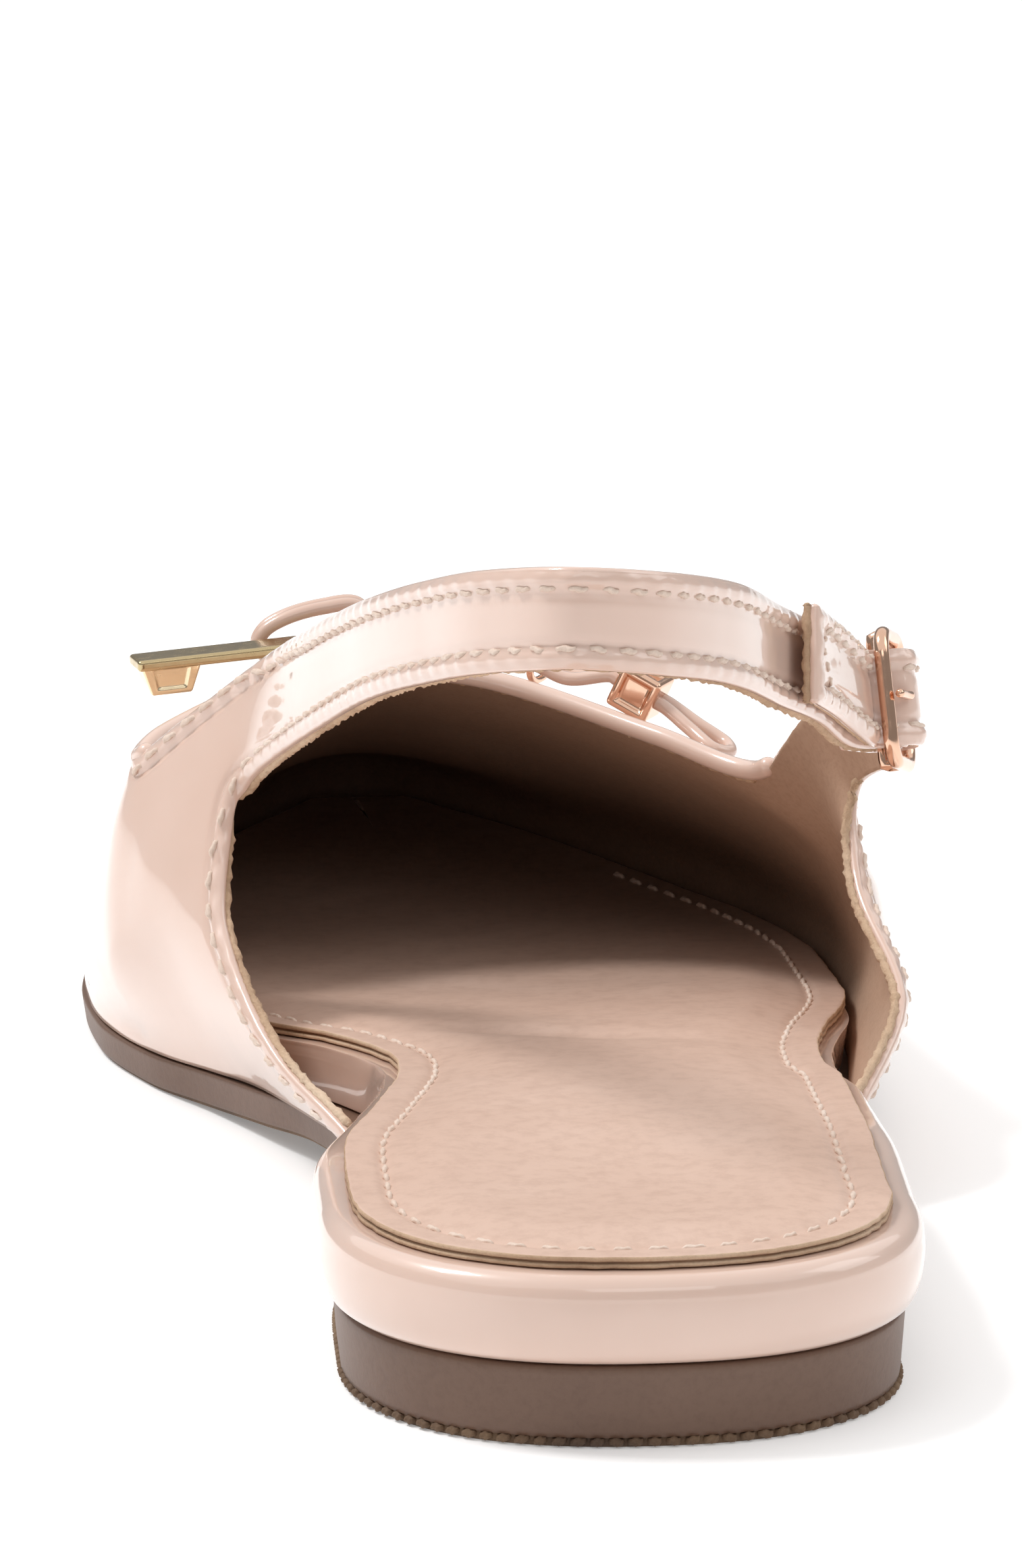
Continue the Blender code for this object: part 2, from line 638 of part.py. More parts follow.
def upper():
    """One shell: vamp, both quarters, the heel strap and the ear strap with its free end."""
    ribs = upper_ribs()
    around, high = ribs.shape[:2]
    vertices = [ribs.reshape(-1, 3)]
    faces = []
    for i in range(around - 1):
        for j in range(high - 1):
            a = i * high + j
            faces.append((a, a + 1, a + high + 1, a + high))
    count = around * high
    across = RIB_STEPS + 1
    inner_root = [i * high + high - 1 for i in range(across)]
    outer_root = [i * high + high - 1 for i in range(around - across, around)]
    for root, path in ((inner_root, heel_strap_path()), (outer_root, ear_strap_path())):
        grid = strap_grid(vertices_at(vertices, root), path)
        below = root
        for row in grid:
            above = list(range(count, count + across))
            vertices.append(row)
            count += across
            for k in range(across - 1):
                faces.append((below[k], above[k], above[k + 1], below[k + 1]))
            below = above
    mesh = bpy.data.meshes.new("upper")
    mesh.from_pydata([tuple(v) for v in np.vstack(vertices)], [], faces)
    piece = new_object("upper", mesh, "patent")
    wall = piece.modifiers.new("Wall", "SOLIDIFY")
    wall.thickness = UPPER_WALL
    wall.offset = -1
    wall.use_even_offset = False


def vertices_at(blocks, numbers):
    """The vertices with these numbers, out of the blocks laid end to end."""
    return np.vstack(blocks)[numbers]


def topline():
    """The throat's rim, from the inner low point round to the outer one."""
    ribs = upper_ribs()
    names = [row.name for row in RIBS]
    first, last = names.index("inner low point"), names.index("outer low point")
    rim = ribs[first * RIB_STEPS : last * RIB_STEPS + 1]
    top = rim[:, -1]
    up = unit(rim[:, -1] - rim[:, -2])
    out = unit(np.cross(up, np.gradient(top, axis=0)))
    return top, up, out


def topline_piping():
    """The rolled edge that lies on the wall all round the throat."""
    top, up, out = topline()
    path = top + up * (PIPING_RADIUS + 1.5 * FIT_GAP) - out * UPPER_WALL / 2
    tube("topline_piping", path, PIPING_RADIUS, "patent")


def rounded_frame(length, width, radius, count):
    """A rounded rectangle in the buckle's plane, as points along its middle line."""
    corners = []
    for turn, (sx, sy) in enumerate(((1, 1), (-1, 1), (-1, -1), (1, -1))):
        for angle in np.linspace(0, 90, count) + 90 * turn:
            a = np.radians(angle)
            corners.append(
                (sx * (length / 2 - radius) + radius * np.cos(a), sy * (width / 2 - radius) + radius * np.sin(a))
            )
    return np.array(corners)


def buckle():
    """Rose gold frame with its middle bar, and the prong laid across it."""
    run, out, across = buckle_frame_axes()
    length, width = BUCKLE_LENGTH - BUCKLE_WIRE, BUCKLE_WIDTH - BUCKLE_WIRE
    flat = rounded_frame(length, width, 2.6 * MM, 5)
    path = np.array([buckle_point(a, 0) + b * across for a, b in flat])
    frame = tube("buckle_frame", path, BUCKLE_WIRE / 2, "rose gold", closed=True)
    reach = width / 2
    ends = [(-1, 0.0), (-1, BAR_DEPTH), (1, BAR_DEPTH), (1, 0.0)]
    bar_path = np.array([buckle_point(0, depth) + side * reach * across for side, depth in ends])
    bar = tube("buckle_bar_part", bar_path, BAR_RADIUS, "rose gold")
    PIECES.objects.unlink(bar)
    join(frame, bar)
    lift = BAR_DEPTH + EAR_STRAP_REACH + FIT_GAP + PRONG_RADIUS
    tip = BUCKLE_WIRE / 2 + FIT_GAP + PRONG_RADIUS
    prong = [
        (-0.22 * BUCKLE_LENGTH, lift - 0.72 * (lift - tip)),
        (-0.32 * BUCKLE_LENGTH, lift - 0.86 * (lift - tip)),
        (-0.50 * BUCKLE_LENGTH, tip),
    ]
    tube("buckle_prong", smooth([buckle_point(a, b) for a, b in prong], 4), PRONG_RADIUS, "rose gold")


def at_place(place):
    """A bow place in metres."""
    return np.array(place) * np.array([BALL_WIDTH, SHOE_LENGTH, THROAT_HEIGHT])


def square_axes(run):
    """Three axes square to each other, the first along run and the last nearest to up."""
    run = unit(run)
    up = unit(np.array([0, 0, 1.0]) - run * run[2])
    return np.array([run, np.cross(up, run), up])


def bow():
    """Cord bow on the throat: knot, loops, square bead, ring and a plate with a square tip."""
    knot = at_place(KNOT_PLACE)
    knot_axes = square_axes(KNOT_RUN)
    turned_knot(knot, knot_axes)
    seat = KNOT_WIDTH / 2 + FIT_GAP
    side_by_side = CORD_RADIUS + FIT_GAP / 2
    inner_loop(knot - seat * knot_axes[0], knot_axes[0], side_by_side * knot_axes)
    bead = at_place(BEAD_PLACE)
    bead_axes = square_axes(BEAD_RUN)
    square_bead("bow_bead", bead, bead_axes)
    outer_strands(knot + seat * knot_axes[0], knot_axes[0], bead, bead_axes, side_by_side)
    outer_loop(bead, bead_axes, side_by_side)
    plate(at_place(PLATE_START))


def inner_loop(face, knot_run, aparts):
    """Two loops side by side on the inner side: all their ends stand on the knot's face."""
    lead = face - CORD_LEAD * knot_run
    for number, side in enumerate((-1, 1)):
        high, wide = aparts[2], side * aparts[1]
        path = [face + high, lead + high] + [at_place(p) for p in INNER_LOOP] + [lead - high, face - high]
        tube("bow_loop_inner_%d" % (number + 1), smooth(np.array(path) + wide, 3), CORD_RADIUS, "patent")


def outer_strands(face, knot_run, bead, bead_axes, side_by_side):
    """Two cords side by side from the knot to the bead, with a wire ring round them."""
    entry = bead - (BEAD_SIZE / 2 + FIT_GAP) * bead_axes[0]
    middle = [face, face + CORD_LEAD * knot_run] + [at_place(p) for p in OUTER_STRAND]
    middle = smooth(middle + [entry - CORD_LEAD * bead_axes[0], entry], 4)
    run = unit(np.gradient(middle, axis=0))
    sideways = unit(np.cross([0, 0, 1.0], run))
    for number, side in enumerate((-1, 1)):
        path = middle + side * side_by_side * sideways
        tube("bow_strand_%d" % (number + 1), path, CORD_RADIUS, "patent")
    centre = at_place(OUTER_STRAND[1])
    ring_axes = square_axes(at_place(OUTER_STRAND[2]) - at_place(OUTER_STRAND[0]))
    high = CORD_RADIUS + 2 * FIT_GAP + RING_WIRE
    wide = high + side_by_side
    turns = np.radians(np.arange(0, 360, 18))
    circle = [centre + wide * np.cos(a) * ring_axes[1] + high * np.sin(a) * ring_axes[2] for a in turns]
    tube("bow_ring", np.array(circle), RING_WIRE, "rose gold", closed=True)


def outer_loop(bead, bead_axes, side_by_side):
    """The short loop beyond the bead, lying on the vamp."""
    start = bead + (BEAD_SIZE / 2 + FIT_GAP) * bead_axes[0]
    there = [start, start + CORD_LEAD * bead_axes[0]] + [at_place(p) for p in OUTER_END]
    spread = np.array([1.0, 1.0, 1.5, 2.0])[:, None] * side_by_side * bead_axes[1]
    path = list(there - spread) + [there[-1] + bead_axes[0] * 1.6 * CORD_RADIUS]
    path += list((there + spread)[::-1])
    tube("bow_loop_outer", smooth(path, 3), CORD_RADIUS, "patent")


def square_bead(name, place, axes):
    """A metal cube with rounded edges and a sunk panel in two of its faces."""
    bead = new_object(name, box_mesh(name, [BEAD_SIZE] * 3, place, axes), "rose gold")
    inner = BEAD_SIZE - 2 * BEAD_FRAME
    for side in (-1, 1):
        centre = place + side * axes[1] * BEAD_SIZE / 2
        size = [inner, 2 * BEAD_RECESS, inner]
        cutter = bpy.data.objects.new(name + "_panel", box_mesh(name + "_panel", size, centre, axes))
        cut(bead, cutter)
    bevel(bead, 0.3 * MM)


def plate(start):
    """The long gold plate that overhangs the inner side, with a tapered tip under its end."""
    axes = square_axes(PLATE_RUN)
    middle = start + axes[0] * PLATE_LENGTH / 2
    size = [PLATE_LENGTH, PLATE_WIDTH, PLATE_THICKNESS]
    bar = new_object("bow_plate", box_mesh("bow_plate", size, middle, axes), "rose gold")
    tip_middle = start + axes[0] * (TIP_LENGTH / 2 + TIP_INSET) - axes[2] * TIP_HEIGHT / 2
    tip_size = [TIP_LENGTH, PLATE_WIDTH - 2 * TIP_INSET, TIP_HEIGHT]
    tip_mesh = box_mesh("bow_tip_part", tip_size, tip_middle, axes, TIP_TAPER)
    join(bar, bpy.data.objects.new("bow_tip_part", tip_mesh))
    bevel(bar, 0.3 * MM)


def turned_knot(place, axes):
    """The knot: a rounded barrel across the middle of the bow."""
    rings = []
    for share in np.linspace(-1, 1, 9):
        radius = KNOT_RADIUS * (1 - 0.45 * abs(share) ** 3)
        turns = np.radians(np.arange(0, 360, 24))
        centre = place + share * axes[0] * KNOT_WIDTH / 2
        rings.append(
            [centre + radius * (np.cos(a) * axes[1] + 0.72 * np.sin(a) * axes[2]) for a in turns]
        )
    loft("bow_knot", np.array(rings), "patent")


def material(name, colour):
    """A plain Principled material."""
    red, green, blue, rough, metal = colour
    finish = bpy.data.materials.new(name)
    finish.use_nodes = True
    shader = finish.node_tree.nodes["Principled BSDF"]
    shader.inputs["Base Color"].default_value = (red, green, blue, 1)
    shader.inputs["Roughness"].default_value = rough
    shader.inputs["Metallic"].default_value = metal
    return finish


def collection(name):
    """A new collection in the scene."""
    made = bpy.data.collections.new(name)
    bpy.context.scene.collection.children.link(made)
    return made


for old in list(bpy.data.objects):
    bpy.data.objects.remove(old)

PIECES = collection("sling_back_flat")
CUTTERS = collection("cutters")
MATERIALS = {name: material(name, colour) for name, colour in COLOURS.items()}

outsole()
footbed()
insole()
upper()
topline_piping()
buckle()
bow()
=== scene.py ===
# %% [markdown]
# # A sling back flat, dressed for the camera
# The shoe stands empty on its sole, seen from behind. Its solids come in as a fixed frame, and
# every visible skin is worked out again here, much finer, from the same named sizes: patent
# leather with folded edges, twisted stitches, raw lining edges, a padded platform and a small
# bow with rose gold trim.

# %% Frame
import bmesh
import bpy
import numpy as np
from mathutils import Matrix


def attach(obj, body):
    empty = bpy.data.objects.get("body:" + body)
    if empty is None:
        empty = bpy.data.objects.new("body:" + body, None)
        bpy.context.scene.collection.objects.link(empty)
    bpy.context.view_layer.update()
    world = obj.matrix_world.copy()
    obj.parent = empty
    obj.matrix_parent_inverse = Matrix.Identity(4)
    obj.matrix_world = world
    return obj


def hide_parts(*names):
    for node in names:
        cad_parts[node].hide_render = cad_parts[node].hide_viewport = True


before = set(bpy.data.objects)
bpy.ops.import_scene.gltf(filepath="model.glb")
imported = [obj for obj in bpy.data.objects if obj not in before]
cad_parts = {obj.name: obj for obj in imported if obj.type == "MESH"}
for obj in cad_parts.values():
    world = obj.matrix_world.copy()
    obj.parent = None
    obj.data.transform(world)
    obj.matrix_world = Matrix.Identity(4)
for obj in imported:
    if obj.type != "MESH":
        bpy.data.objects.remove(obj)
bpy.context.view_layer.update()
MM = 0.001
print("nodes in the frame:", len(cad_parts))

# %% [markdown]
# ## The last's sizes
# A shoe is built on a last, so all its skins share one set of sizes. They are the same values
# that the solids were made from, in metres.

# %% Sizes
SHOE_LENGTH = 264.0 * MM
HEEL_REACH = 30.2 * MM
BALL_WIDTH = 87.0 * MM
HEEL_WIDTH = 58.6 * MM
HEEL_HEIGHT = 8.5 * MM
THROAT_HEIGHT = 45.0 * MM
STRAP_HEIGHT = 76.3 * MM
WAIST_CLEARANCE = 4.0 * MM
TOE_SPRING = 5.6 * MM
SOLE_EDGE = 4.0 * MM
RAND_HEIGHT = 9.2 * MM
RAND_BULGE = 1.9 * MM
INSOLE_THICKNESS = 1.1 * MM
INSOLE_INSET = 1.5 * MM
UPPER_WALL = 1.5 * MM
UPPER_INSET = 0.4 * MM
STRAP_WIDTH = 10.0 * MM
PIPING_RADIUS = 1.15 * MM
FIT_GAP = 0.3 * MM
TOE_X = -0.069 * BALL_WIDTH
TOE_Y = SHOE_LENGTH - HEEL_REACH

# Sole edge: place along the shoe, reach of the inner edge, reach of the outer edge
HEEL_EDGE = np.array([[0.000, 0.500, 0.493], [0.076, 0.478, 0.515], [0.152, 0.425, 0.539]])
FORE_EDGE = np.array([
    [0.265, 0.253, 0.402], [0.322, 0.282, 0.430], [0.367, 0.328, 0.455], [0.424, 0.389, 0.476],
    [0.473, 0.454, 0.487], [0.538, 0.505, 0.490], [0.587, 0.513, 0.478], [0.644, 0.494, 0.439],
    [0.701, 0.446, 0.361], [0.758, 0.368, 0.267], [0.807, 0.279, 0.170], [0.848, 0.193, 0.076],
])
# Side view: place, hollow of the waist, rise to the heel, toe spring, height of the platform
SOLE_SIDE = np.array([
    [-0.120, 0.00, 1.00, 0.00, 1.00], [0.076, 0.00, 1.00, 0.00, 1.00], [0.140, 0.00, 0.98, 0.00, 0.92],
    [0.163, 0.88, 0.95, 0.00, 0.89], [0.227, 1.00, 0.86, 0.00, 0.78], [0.322, 0.75, 0.64, 0.00, 0.67],
    [0.379, 0.40, 0.38, 0.00, 0.65], [0.436, 0.10, 0.14, 0.00, 0.61], [0.485, 0.00, 0.02, 0.00, 0.56],
    [0.568, 0.00, 0.00, 0.00, 0.43], [0.644, 0.00, 0.00, 0.08, 0.29], [0.720, 0.00, 0.00, 0.30, 0.20],
    [0.795, 0.00, 0.00, 0.62, 0.15], [0.886, 0.00, 0.00, 1.00, 0.11],
])
# Platform: place, inset inner, inset outer, swell, spread inner, spread outer
BED_EDGE = np.array([
    [-0.120, 0.000, 0.000, 1.00, 0.000, 0.000], [0.060, 0.000, 0.000, 1.00, 0.000, 0.000],
    [0.200, 0.037, 0.010, 0.45, 0.000, 0.000], [0.235, 0.048, 0.030, 0.25, 0.000, 0.000],
    [0.285, 0.054, 0.036, 0.10, 0.000, 0.000], [0.340, 0.040, 0.034, 0.00, 0.006, 0.006],
    [0.379, 0.032, 0.032, 0.00, 0.020, 0.010], [0.436, 0.032, 0.032, 0.00, 0.020, 0.004],
    [0.500, 0.032, 0.032, 0.00, 0.004, 0.000], [0.760, 0.036, 0.036, 0.00, 0.000, 0.000],
    [0.886, 0.052, 0.052, 0.00, 0.000, 0.000],
])

# %% [markdown]
# ## Curves
# Everything follows from two kinds of curve: a Catmull-Rom curve through a few listed points,
# and a monotone cubic that reads a column of a table at any place along the shoe.

# %% Curve helpers
def unit(vector):
    """A vector over its own length."""
    return vector / np.maximum(np.linalg.norm(vector, axis=-1, keepdims=True), 1e-12)


def curve_at(points, u):
    """Centripetal Catmull-Rom curve at the parameters u: u = 2.5 is halfway from point 2 to 3."""
    points = np.asarray(points, float)
    points = np.concatenate([2 * points[:1] - points[1:2], points, 2 * points[-1:] - points[-2:-1]])
    flat = points.reshape(len(points), -1)
    knots = np.concatenate([[0], np.cumsum(np.linalg.norm(np.diff(flat, axis=0), axis=1) ** 0.5)])
    i = np.clip(np.floor(u).astype(int), 0, len(points) - 4)
    p0, p1, p2, p3 = (flat[i + n] for n in range(4))
    k0, k1, k2, k3 = (knots[i + n][:, None] for n in range(4))
    k = k1 + (u - i)[:, None] * (k2 - k1)
    a1 = (k1 - k) / (k1 - k0) * p0 + (k - k0) / (k1 - k0) * p1
    a2 = (k2 - k) / (k2 - k1) * p1 + (k - k1) / (k2 - k1) * p2
    a3 = (k3 - k) / (k3 - k2) * p2 + (k - k2) / (k3 - k2) * p3
    b1 = (k2 - k) / (k2 - k0) * a1 + (k - k0) / (k2 - k0) * a2
    b2 = (k3 - k) / (k3 - k1) * a2 + (k - k1) / (k3 - k1) * a3
    return ((k2 - k) / (k2 - k1) * b1 + (k - k1) / (k2 - k1) * b2).reshape((-1,) + points.shape[1:])


def smooth(points, steps):
    """The same curve with a fixed number of steps between each two points."""
    return curve_at(points, np.arange((len(points) - 1) * steps + 1) / steps)


def run_of(path):
    """Length of a path up to each of its points."""
    return np.concatenate([[0], np.cumsum(np.linalg.norm(np.diff(path[:, :3], axis=0), axis=1))])


def at_length(path, length):
    """The path at given lengths along it, every column interpolated in a straight line."""
    run = run_of(path)
    return np.stack([np.interp(length, run, path[:, k]) for k in range(path.shape[1])], 1)


def cubic(at, value, y):
    """Monotone cubic through (at, value): it keeps level where two values are equal."""
    step = np.diff(at)
    slope = np.diff(value) / step
    same = slope[:-1] * slope[1:] > 0
    mean = np.where(same, 2 * slope[:-1] * slope[1:] / np.where(same, slope[:-1] + slope[1:], 1), 0)
    tangent = np.concatenate([[slope[0]], mean, [slope[-1]]])
    y = np.clip(y, at[0], at[-1])
    i = np.clip(np.searchsorted(at, y, side="right") - 1, 0, len(at) - 2)
    h, t = step[i], (y - at[i]) / step[i]
    ends = (2 * t**3 - 3 * t**2 + 1) * value[i] + (3 * t**2 - 2 * t**3) * value[i + 1]
    return ends + h * ((t**3 - 2 * t**2 + t) * tangent[i] + (t**3 - t**2) * tangent[i + 1])


def column(table, k, y):
    """Column k of a table at the places y."""
    return cubic(table[:, 0] * SHOE_LENGTH, table[:, k], y)


def step_between(value, low, high):
    """0 below low, 1 above high, with a smooth rise between."""
    t = np.clip((value - low) / (high - low), 0, 1)
    return t * t * (3 - 2 * t)


# %% Plan and side view of the sole
def sole_edge(side, y):
    """Sideways place of the sole's edge: a superellipse behind, a table, a square root at the toe."""
    k = 1 if side < 0 else 2
    at = np.concatenate([HEEL_EDGE[:, 0], FORE_EDGE[:, 0]]) * SHOE_LENGTH
    reach = np.concatenate([HEEL_EDGE[:, k] * HEEL_WIDTH, FORE_EDGE[:, k] * BALL_WIDTH])
    x = side * cubic(at, reach, y)
    closing = np.sqrt(np.clip((TOE_Y - y) / (TOE_Y - at[-1]), 0, 1))
    x = np.where(y > at[-1], TOE_X + (side * reach[-1] - TOE_X) * closing, x)
    heel = (1 - np.clip(-y / HEEL_REACH, 0, 1) ** 2.3) ** (1 / 2.3)
    return np.where(y < 0, side * reach[0] * heel, x)


def sole_under(y):
    """Height of the underside."""
    return column(SOLE_SIDE, 1, y) * WAIST_CLEARANCE + column(SOLE_SIDE, 3, y) * TOE_SPRING


def sole_top(y):
    """Height of the sole's upper face."""
    lift = column(SOLE_SIDE, 2, y) * (HEEL_HEIGHT - SOLE_EDGE)
    return SOLE_EDGE + lift + column(SOLE_SIDE, 3, y) * TOE_SPRING


def bed_top(y):
    """Height of the platform's upper face."""
    return sole_top(y) + FIT_GAP + column(SOLE_SIDE, 4, y) * RAND_HEIGHT


def edge_points(side, inset, y):
    """The sole's edge moved square to itself by inset, towards the middle."""
    small = 0.05 * MM
    above, below = np.minimum(y + small, TOE_Y), np.maximum(y - small, -HEEL_REACH)
    run = unit(np.stack([sole_edge(side, above) - sole_edge(side, below), above - below], 1))
    inward = np.stack([-side * run[:, 1], side * run[:, 0]], 1)
    return np.stack([sole_edge(side, y), y], 1) + inward * np.broadcast_to(inset, y.shape)[:, None]


heel_turn = np.radians(np.linspace(0, 84, 29))
STATIONS = np.concatenate([
    -HEEL_REACH * np.cos(heel_turn),
    np.linspace(0, 0.80 * TOE_Y, 110),
    TOE_Y - 0.20 * TOE_Y * np.linspace(0.975, 0, 36) ** 1.7,
])


def outline(inset_of):
    """Closed outline, inner side from heel to toe and outer side back: inset_of(side, y) in metres."""
    inner = edge_points(-1, inset_of(-1, STATIONS), STATIONS)
    outer = edge_points(1, inset_of(1, STATIONS), STATIONS)
    inner[0, 0] = outer[0, 0] = 0.5 * (inner[0, 0] + outer[0, 0])
    return np.concatenate([inner, outer[::-1]])


print("sections along the sole:", len(STATIONS))

# %% [markdown]
# ## From arrays to meshes
# A grid of points becomes quads, a path becomes a tube. Each piece is one closed mesh with its
# faces turned outwards, which rides on the shoe's only body.

# %% Mesh helpers
def grid_faces(rows, cols, wrap_rows=False, wrap_cols=False):
    """Quads of a grid whose point (i, j) has the number i * cols + j."""
    i, j = np.meshgrid(np.arange(rows - (not wrap_rows)), np.arange(cols - (not wrap_cols)), indexing="ij")
    up, right = (i + 1) % rows, (j + 1) % cols
    quads = np.stack([i * cols + j, i * cols + right, up * cols + right, up * cols + j], -1)
    return quads.reshape(-1, 4)


def make(name, points, faces, finish, node=None, merge=0.002 * MM, parts=None):
    """Put a closed surface into the scene. parts gives each face's finish number.

    A closed shell whose faces point outwards has a volume over 0. The recalculation alone can
    choose wrongly on a slab with a sharp tip, so the volume's sign decides.
    """
    mesh = bpy.data.meshes.new(name)
    mesh.from_pydata(points.reshape(-1, 3).tolist(), [], faces.tolist())
    finishes = finish if isinstance(finish, list) else [finish]
    for one in finishes:
        mesh.materials.append(one)
    if parts is not None:
        mesh.polygons.foreach_set("material_index", parts)
    form = bmesh.new()
    form.from_mesh(mesh)
    if merge:
        bmesh.ops.remove_doubles(form, verts=form.verts, dist=merge)
    bmesh.ops.recalc_face_normals(form, faces=form.faces)
    if form.calc_volume(signed=True) < 0:
        bmesh.ops.reverse_faces(form, faces=form.faces)
    open_edges = sum(not edge.is_manifold for edge in form.edges)
    form.to_mesh(mesh)
    form.free()
    mesh.shade_smooth()
    piece = bpy.data.objects.new(name, mesh)
    bpy.context.scene.collection.objects.link(piece)
    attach(piece, "root")
    for hidden in ([node] if isinstance(node, str) else node or []):
        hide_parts(hidden)
    print("%-22s %6d faces, %d open edges" % (name, len(mesh.polygons), open_edges))
    return piece


def tube_grid(path, radius, sides, ref, ends=True):
    """Rings along a path: point = path + r (cos a * side + sin a * up), ref gives the up side.

    With ends, half a sphere closes each end, so the last ring is a point.
    """
    radius = np.broadcast_to(radius, len(path)).astype(float)
    run = unit(np.gradient(path, axis=0))
    if ends:
        turn = np.radians(np.linspace(90, 15, 6))
        first = path[0] - run[0] * (radius[0] * np.sin(turn))[:, None]
        last = path[-1] + run[-1] * (radius[-1] * np.sin(turn))[:, None]
        path = np.concatenate([first, path, last[::-1]])
        run = np.concatenate([np.repeat(run[:1], 6, 0), run, np.repeat(run[-1:], 6, 0)])
        radius = np.concatenate([radius[0] * np.cos(turn), radius, (radius[-1] * np.cos(turn))[::-1]])
    side = unit(np.cross(run, np.broadcast_to(ref, run.shape)))
    up = np.cross(side, run)
    a = np.linspace(0, 2 * np.pi, sides, endpoint=False)
    ring = np.cos(a)[None, :, None] * side[:, None] + np.sin(a)[None, :, None] * up[:, None]
    return path[:, None] + ring * radius[:, None, None]


def tube(name, path, radius, sides, ref, finish, node=None, closed=False):
    """A tube as one piece. A closed path joins its last ring to its first."""
    if closed:
        looped = np.concatenate([path[-2:], path, path[:2]])
        grid = tube_grid(looped, radius, sides, ref, ends=False)[2:-2]
    else:
        grid = tube_grid(path, radius, sides, ref)
    faces = grid_faces(grid.shape[0], sides, closed, True)
    return make(name, grid, faces, finish, node)


def normals_of(points, faces):
    """Normal at each point: the sum of the face normals round it."""
    a, b, c, d = (points[faces[:, k]] for k in range(4))
    flat = np.cross(c - a, d - b)
    total = np.zeros_like(points)
    for k in range(4):
        np.add.at(total, faces[:, k], flat)
    return unit(total)


def wave(points, scales, seed):
    """Soft noise: a sum of sines with seeded directions and phases, about -1 to 1."""
    draw = np.random.default_rng(seed)
    total = np.zeros(points.shape[:-1])
    for scale in scales:
        for _ in range(3):
            way = unit(draw.normal(size=3)) * (2 * np.pi / scale)
            total += np.sin(points @ way + draw.uniform(0, 6.28)) / 3
    return total / len(scales)


# %% [markdown]
# ## Finishes
# Patent leather is a coloured film under a thick clear coat, so its material is a soft base with
# a full, sharp coat. The uncoated pieces, lining, sock and sole, are matt with a fine grain.

# %% Material helpers
def finish_named(name, colour, rough, metal=0.0):
    """A Principled material and its tools."""
    made = bpy.data.materials.new(name)
    made.use_nodes = True
    shader = made.node_tree.nodes["Principled BSDF"]
    shader.inputs["Base Color"].default_value = (*colour, 1)
    shader.inputs["Roughness"].default_value = rough
    shader.inputs["Metallic"].default_value = metal
    return made, made.node_tree, shader


def noise(tree, scale, detail=4.0, rough=0.5, stretch=None):
    """Noise on Object coordinates. stretch scales the three axes."""
    place = tree.nodes.new("ShaderNodeTexCoord")
    tex = tree.nodes.new("ShaderNodeTexNoise")
    tex.inputs["Scale"].default_value = scale
    tex.inputs["Detail"].default_value = detail
    tex.inputs["Roughness"].default_value = rough
    if stretch:
        mapping = tree.nodes.new("ShaderNodeMapping")
        mapping.inputs["Scale"].default_value = stretch
        tree.links.new(place.outputs["Object"], mapping.inputs["Vector"])
        tree.links.new(mapping.outputs["Vector"], tex.inputs["Vector"])
    else:
        tree.links.new(place.outputs["Object"], tex.inputs["Vector"])
    return tex.outputs["Fac"]


def ramp(tree, fac, stops):
    """Colours over a value: stops are (place, colour)."""
    node = tree.nodes.new("ShaderNodeValToRGB")
    while len(node.color_ramp.elements) < len(stops):
        node.color_ramp.elements.new(0.5)
    for element, (place, colour) in zip(node.color_ramp.elements, stops):
        element.position = place
        element.color = (*colour, 1) if len(colour) == 3 else colour
    tree.links.new(fac, node.inputs["Fac"])
    return node.outputs["Color"]


def mix(tree, fac, first, second, mode="MIX"):
    """Two colours mixed by a value."""
    node = tree.nodes.new("ShaderNodeMix")
    node.data_type = "RGBA"
    node.blend_type = mode
    for socket, value in (("Factor", fac), ("A", first), ("B", second)):
        target = next(s for s in node.inputs if s.name == socket and s.enabled)
        if isinstance(value, (tuple, float)):
            target.default_value = (*value, 1) if isinstance(value, tuple) else value
        else:
            tree.links.new(value, target)
    return next(s for s in node.outputs if s.enabled)


def bump(tree, shader, height, distance, strength=1.0, before=None):
    """Fine relief from a height, with its real depth in metres."""
    node = tree.nodes.new("ShaderNodeBump")
    node.inputs["Strength"].default_value = strength
    node.inputs["Distance"].default_value = distance
    tree.links.new(height, node.inputs["Height"])
    if before is not None:
        tree.links.new(before, node.inputs["Normal"])
    tree.links.new(node.outputs["Normal"], shader.inputs["Normal"])
    return node.outputs["Normal"]


# %% Patent leather
def patent_leather(name, colour, shade):
    """Nude film under a clear coat, with faint cloudiness and an orange peel surface."""
    made, tree, shader = finish_named(name, colour, 0.30)
    cloud = ramp(tree, noise(tree, 55.0, 3.0), [(0.35, shade), (0.65, colour)])
    tree.links.new(cloud, shader.inputs["Base Color"])
    shader.inputs["Coat Weight"].default_value = 1.0
    shader.inputs["Coat Roughness"].default_value = 0.035
    shader.inputs["Coat IOR"].default_value = 1.52
    shader.inputs["Subsurface Weight"].default_value = 0.06
    shader.inputs["Subsurface Radius"].default_value = (0.8, 0.4, 0.3)
    shader.inputs["Subsurface Scale"].default_value = 0.001
    soft = bump(tree, shader, noise(tree, 160.0, 2.0), 0.10 * MM, 0.35)
    tree.links.new(soft, shader.inputs["Coat Normal"])
    return made


PATENT = patent_leather("patent nude", (0.735, 0.535, 0.445), (0.700, 0.500, 0.410))
PATENT_CORD = patent_leather("patent cord", (0.690, 0.485, 0.395), (0.650, 0.445, 0.355))

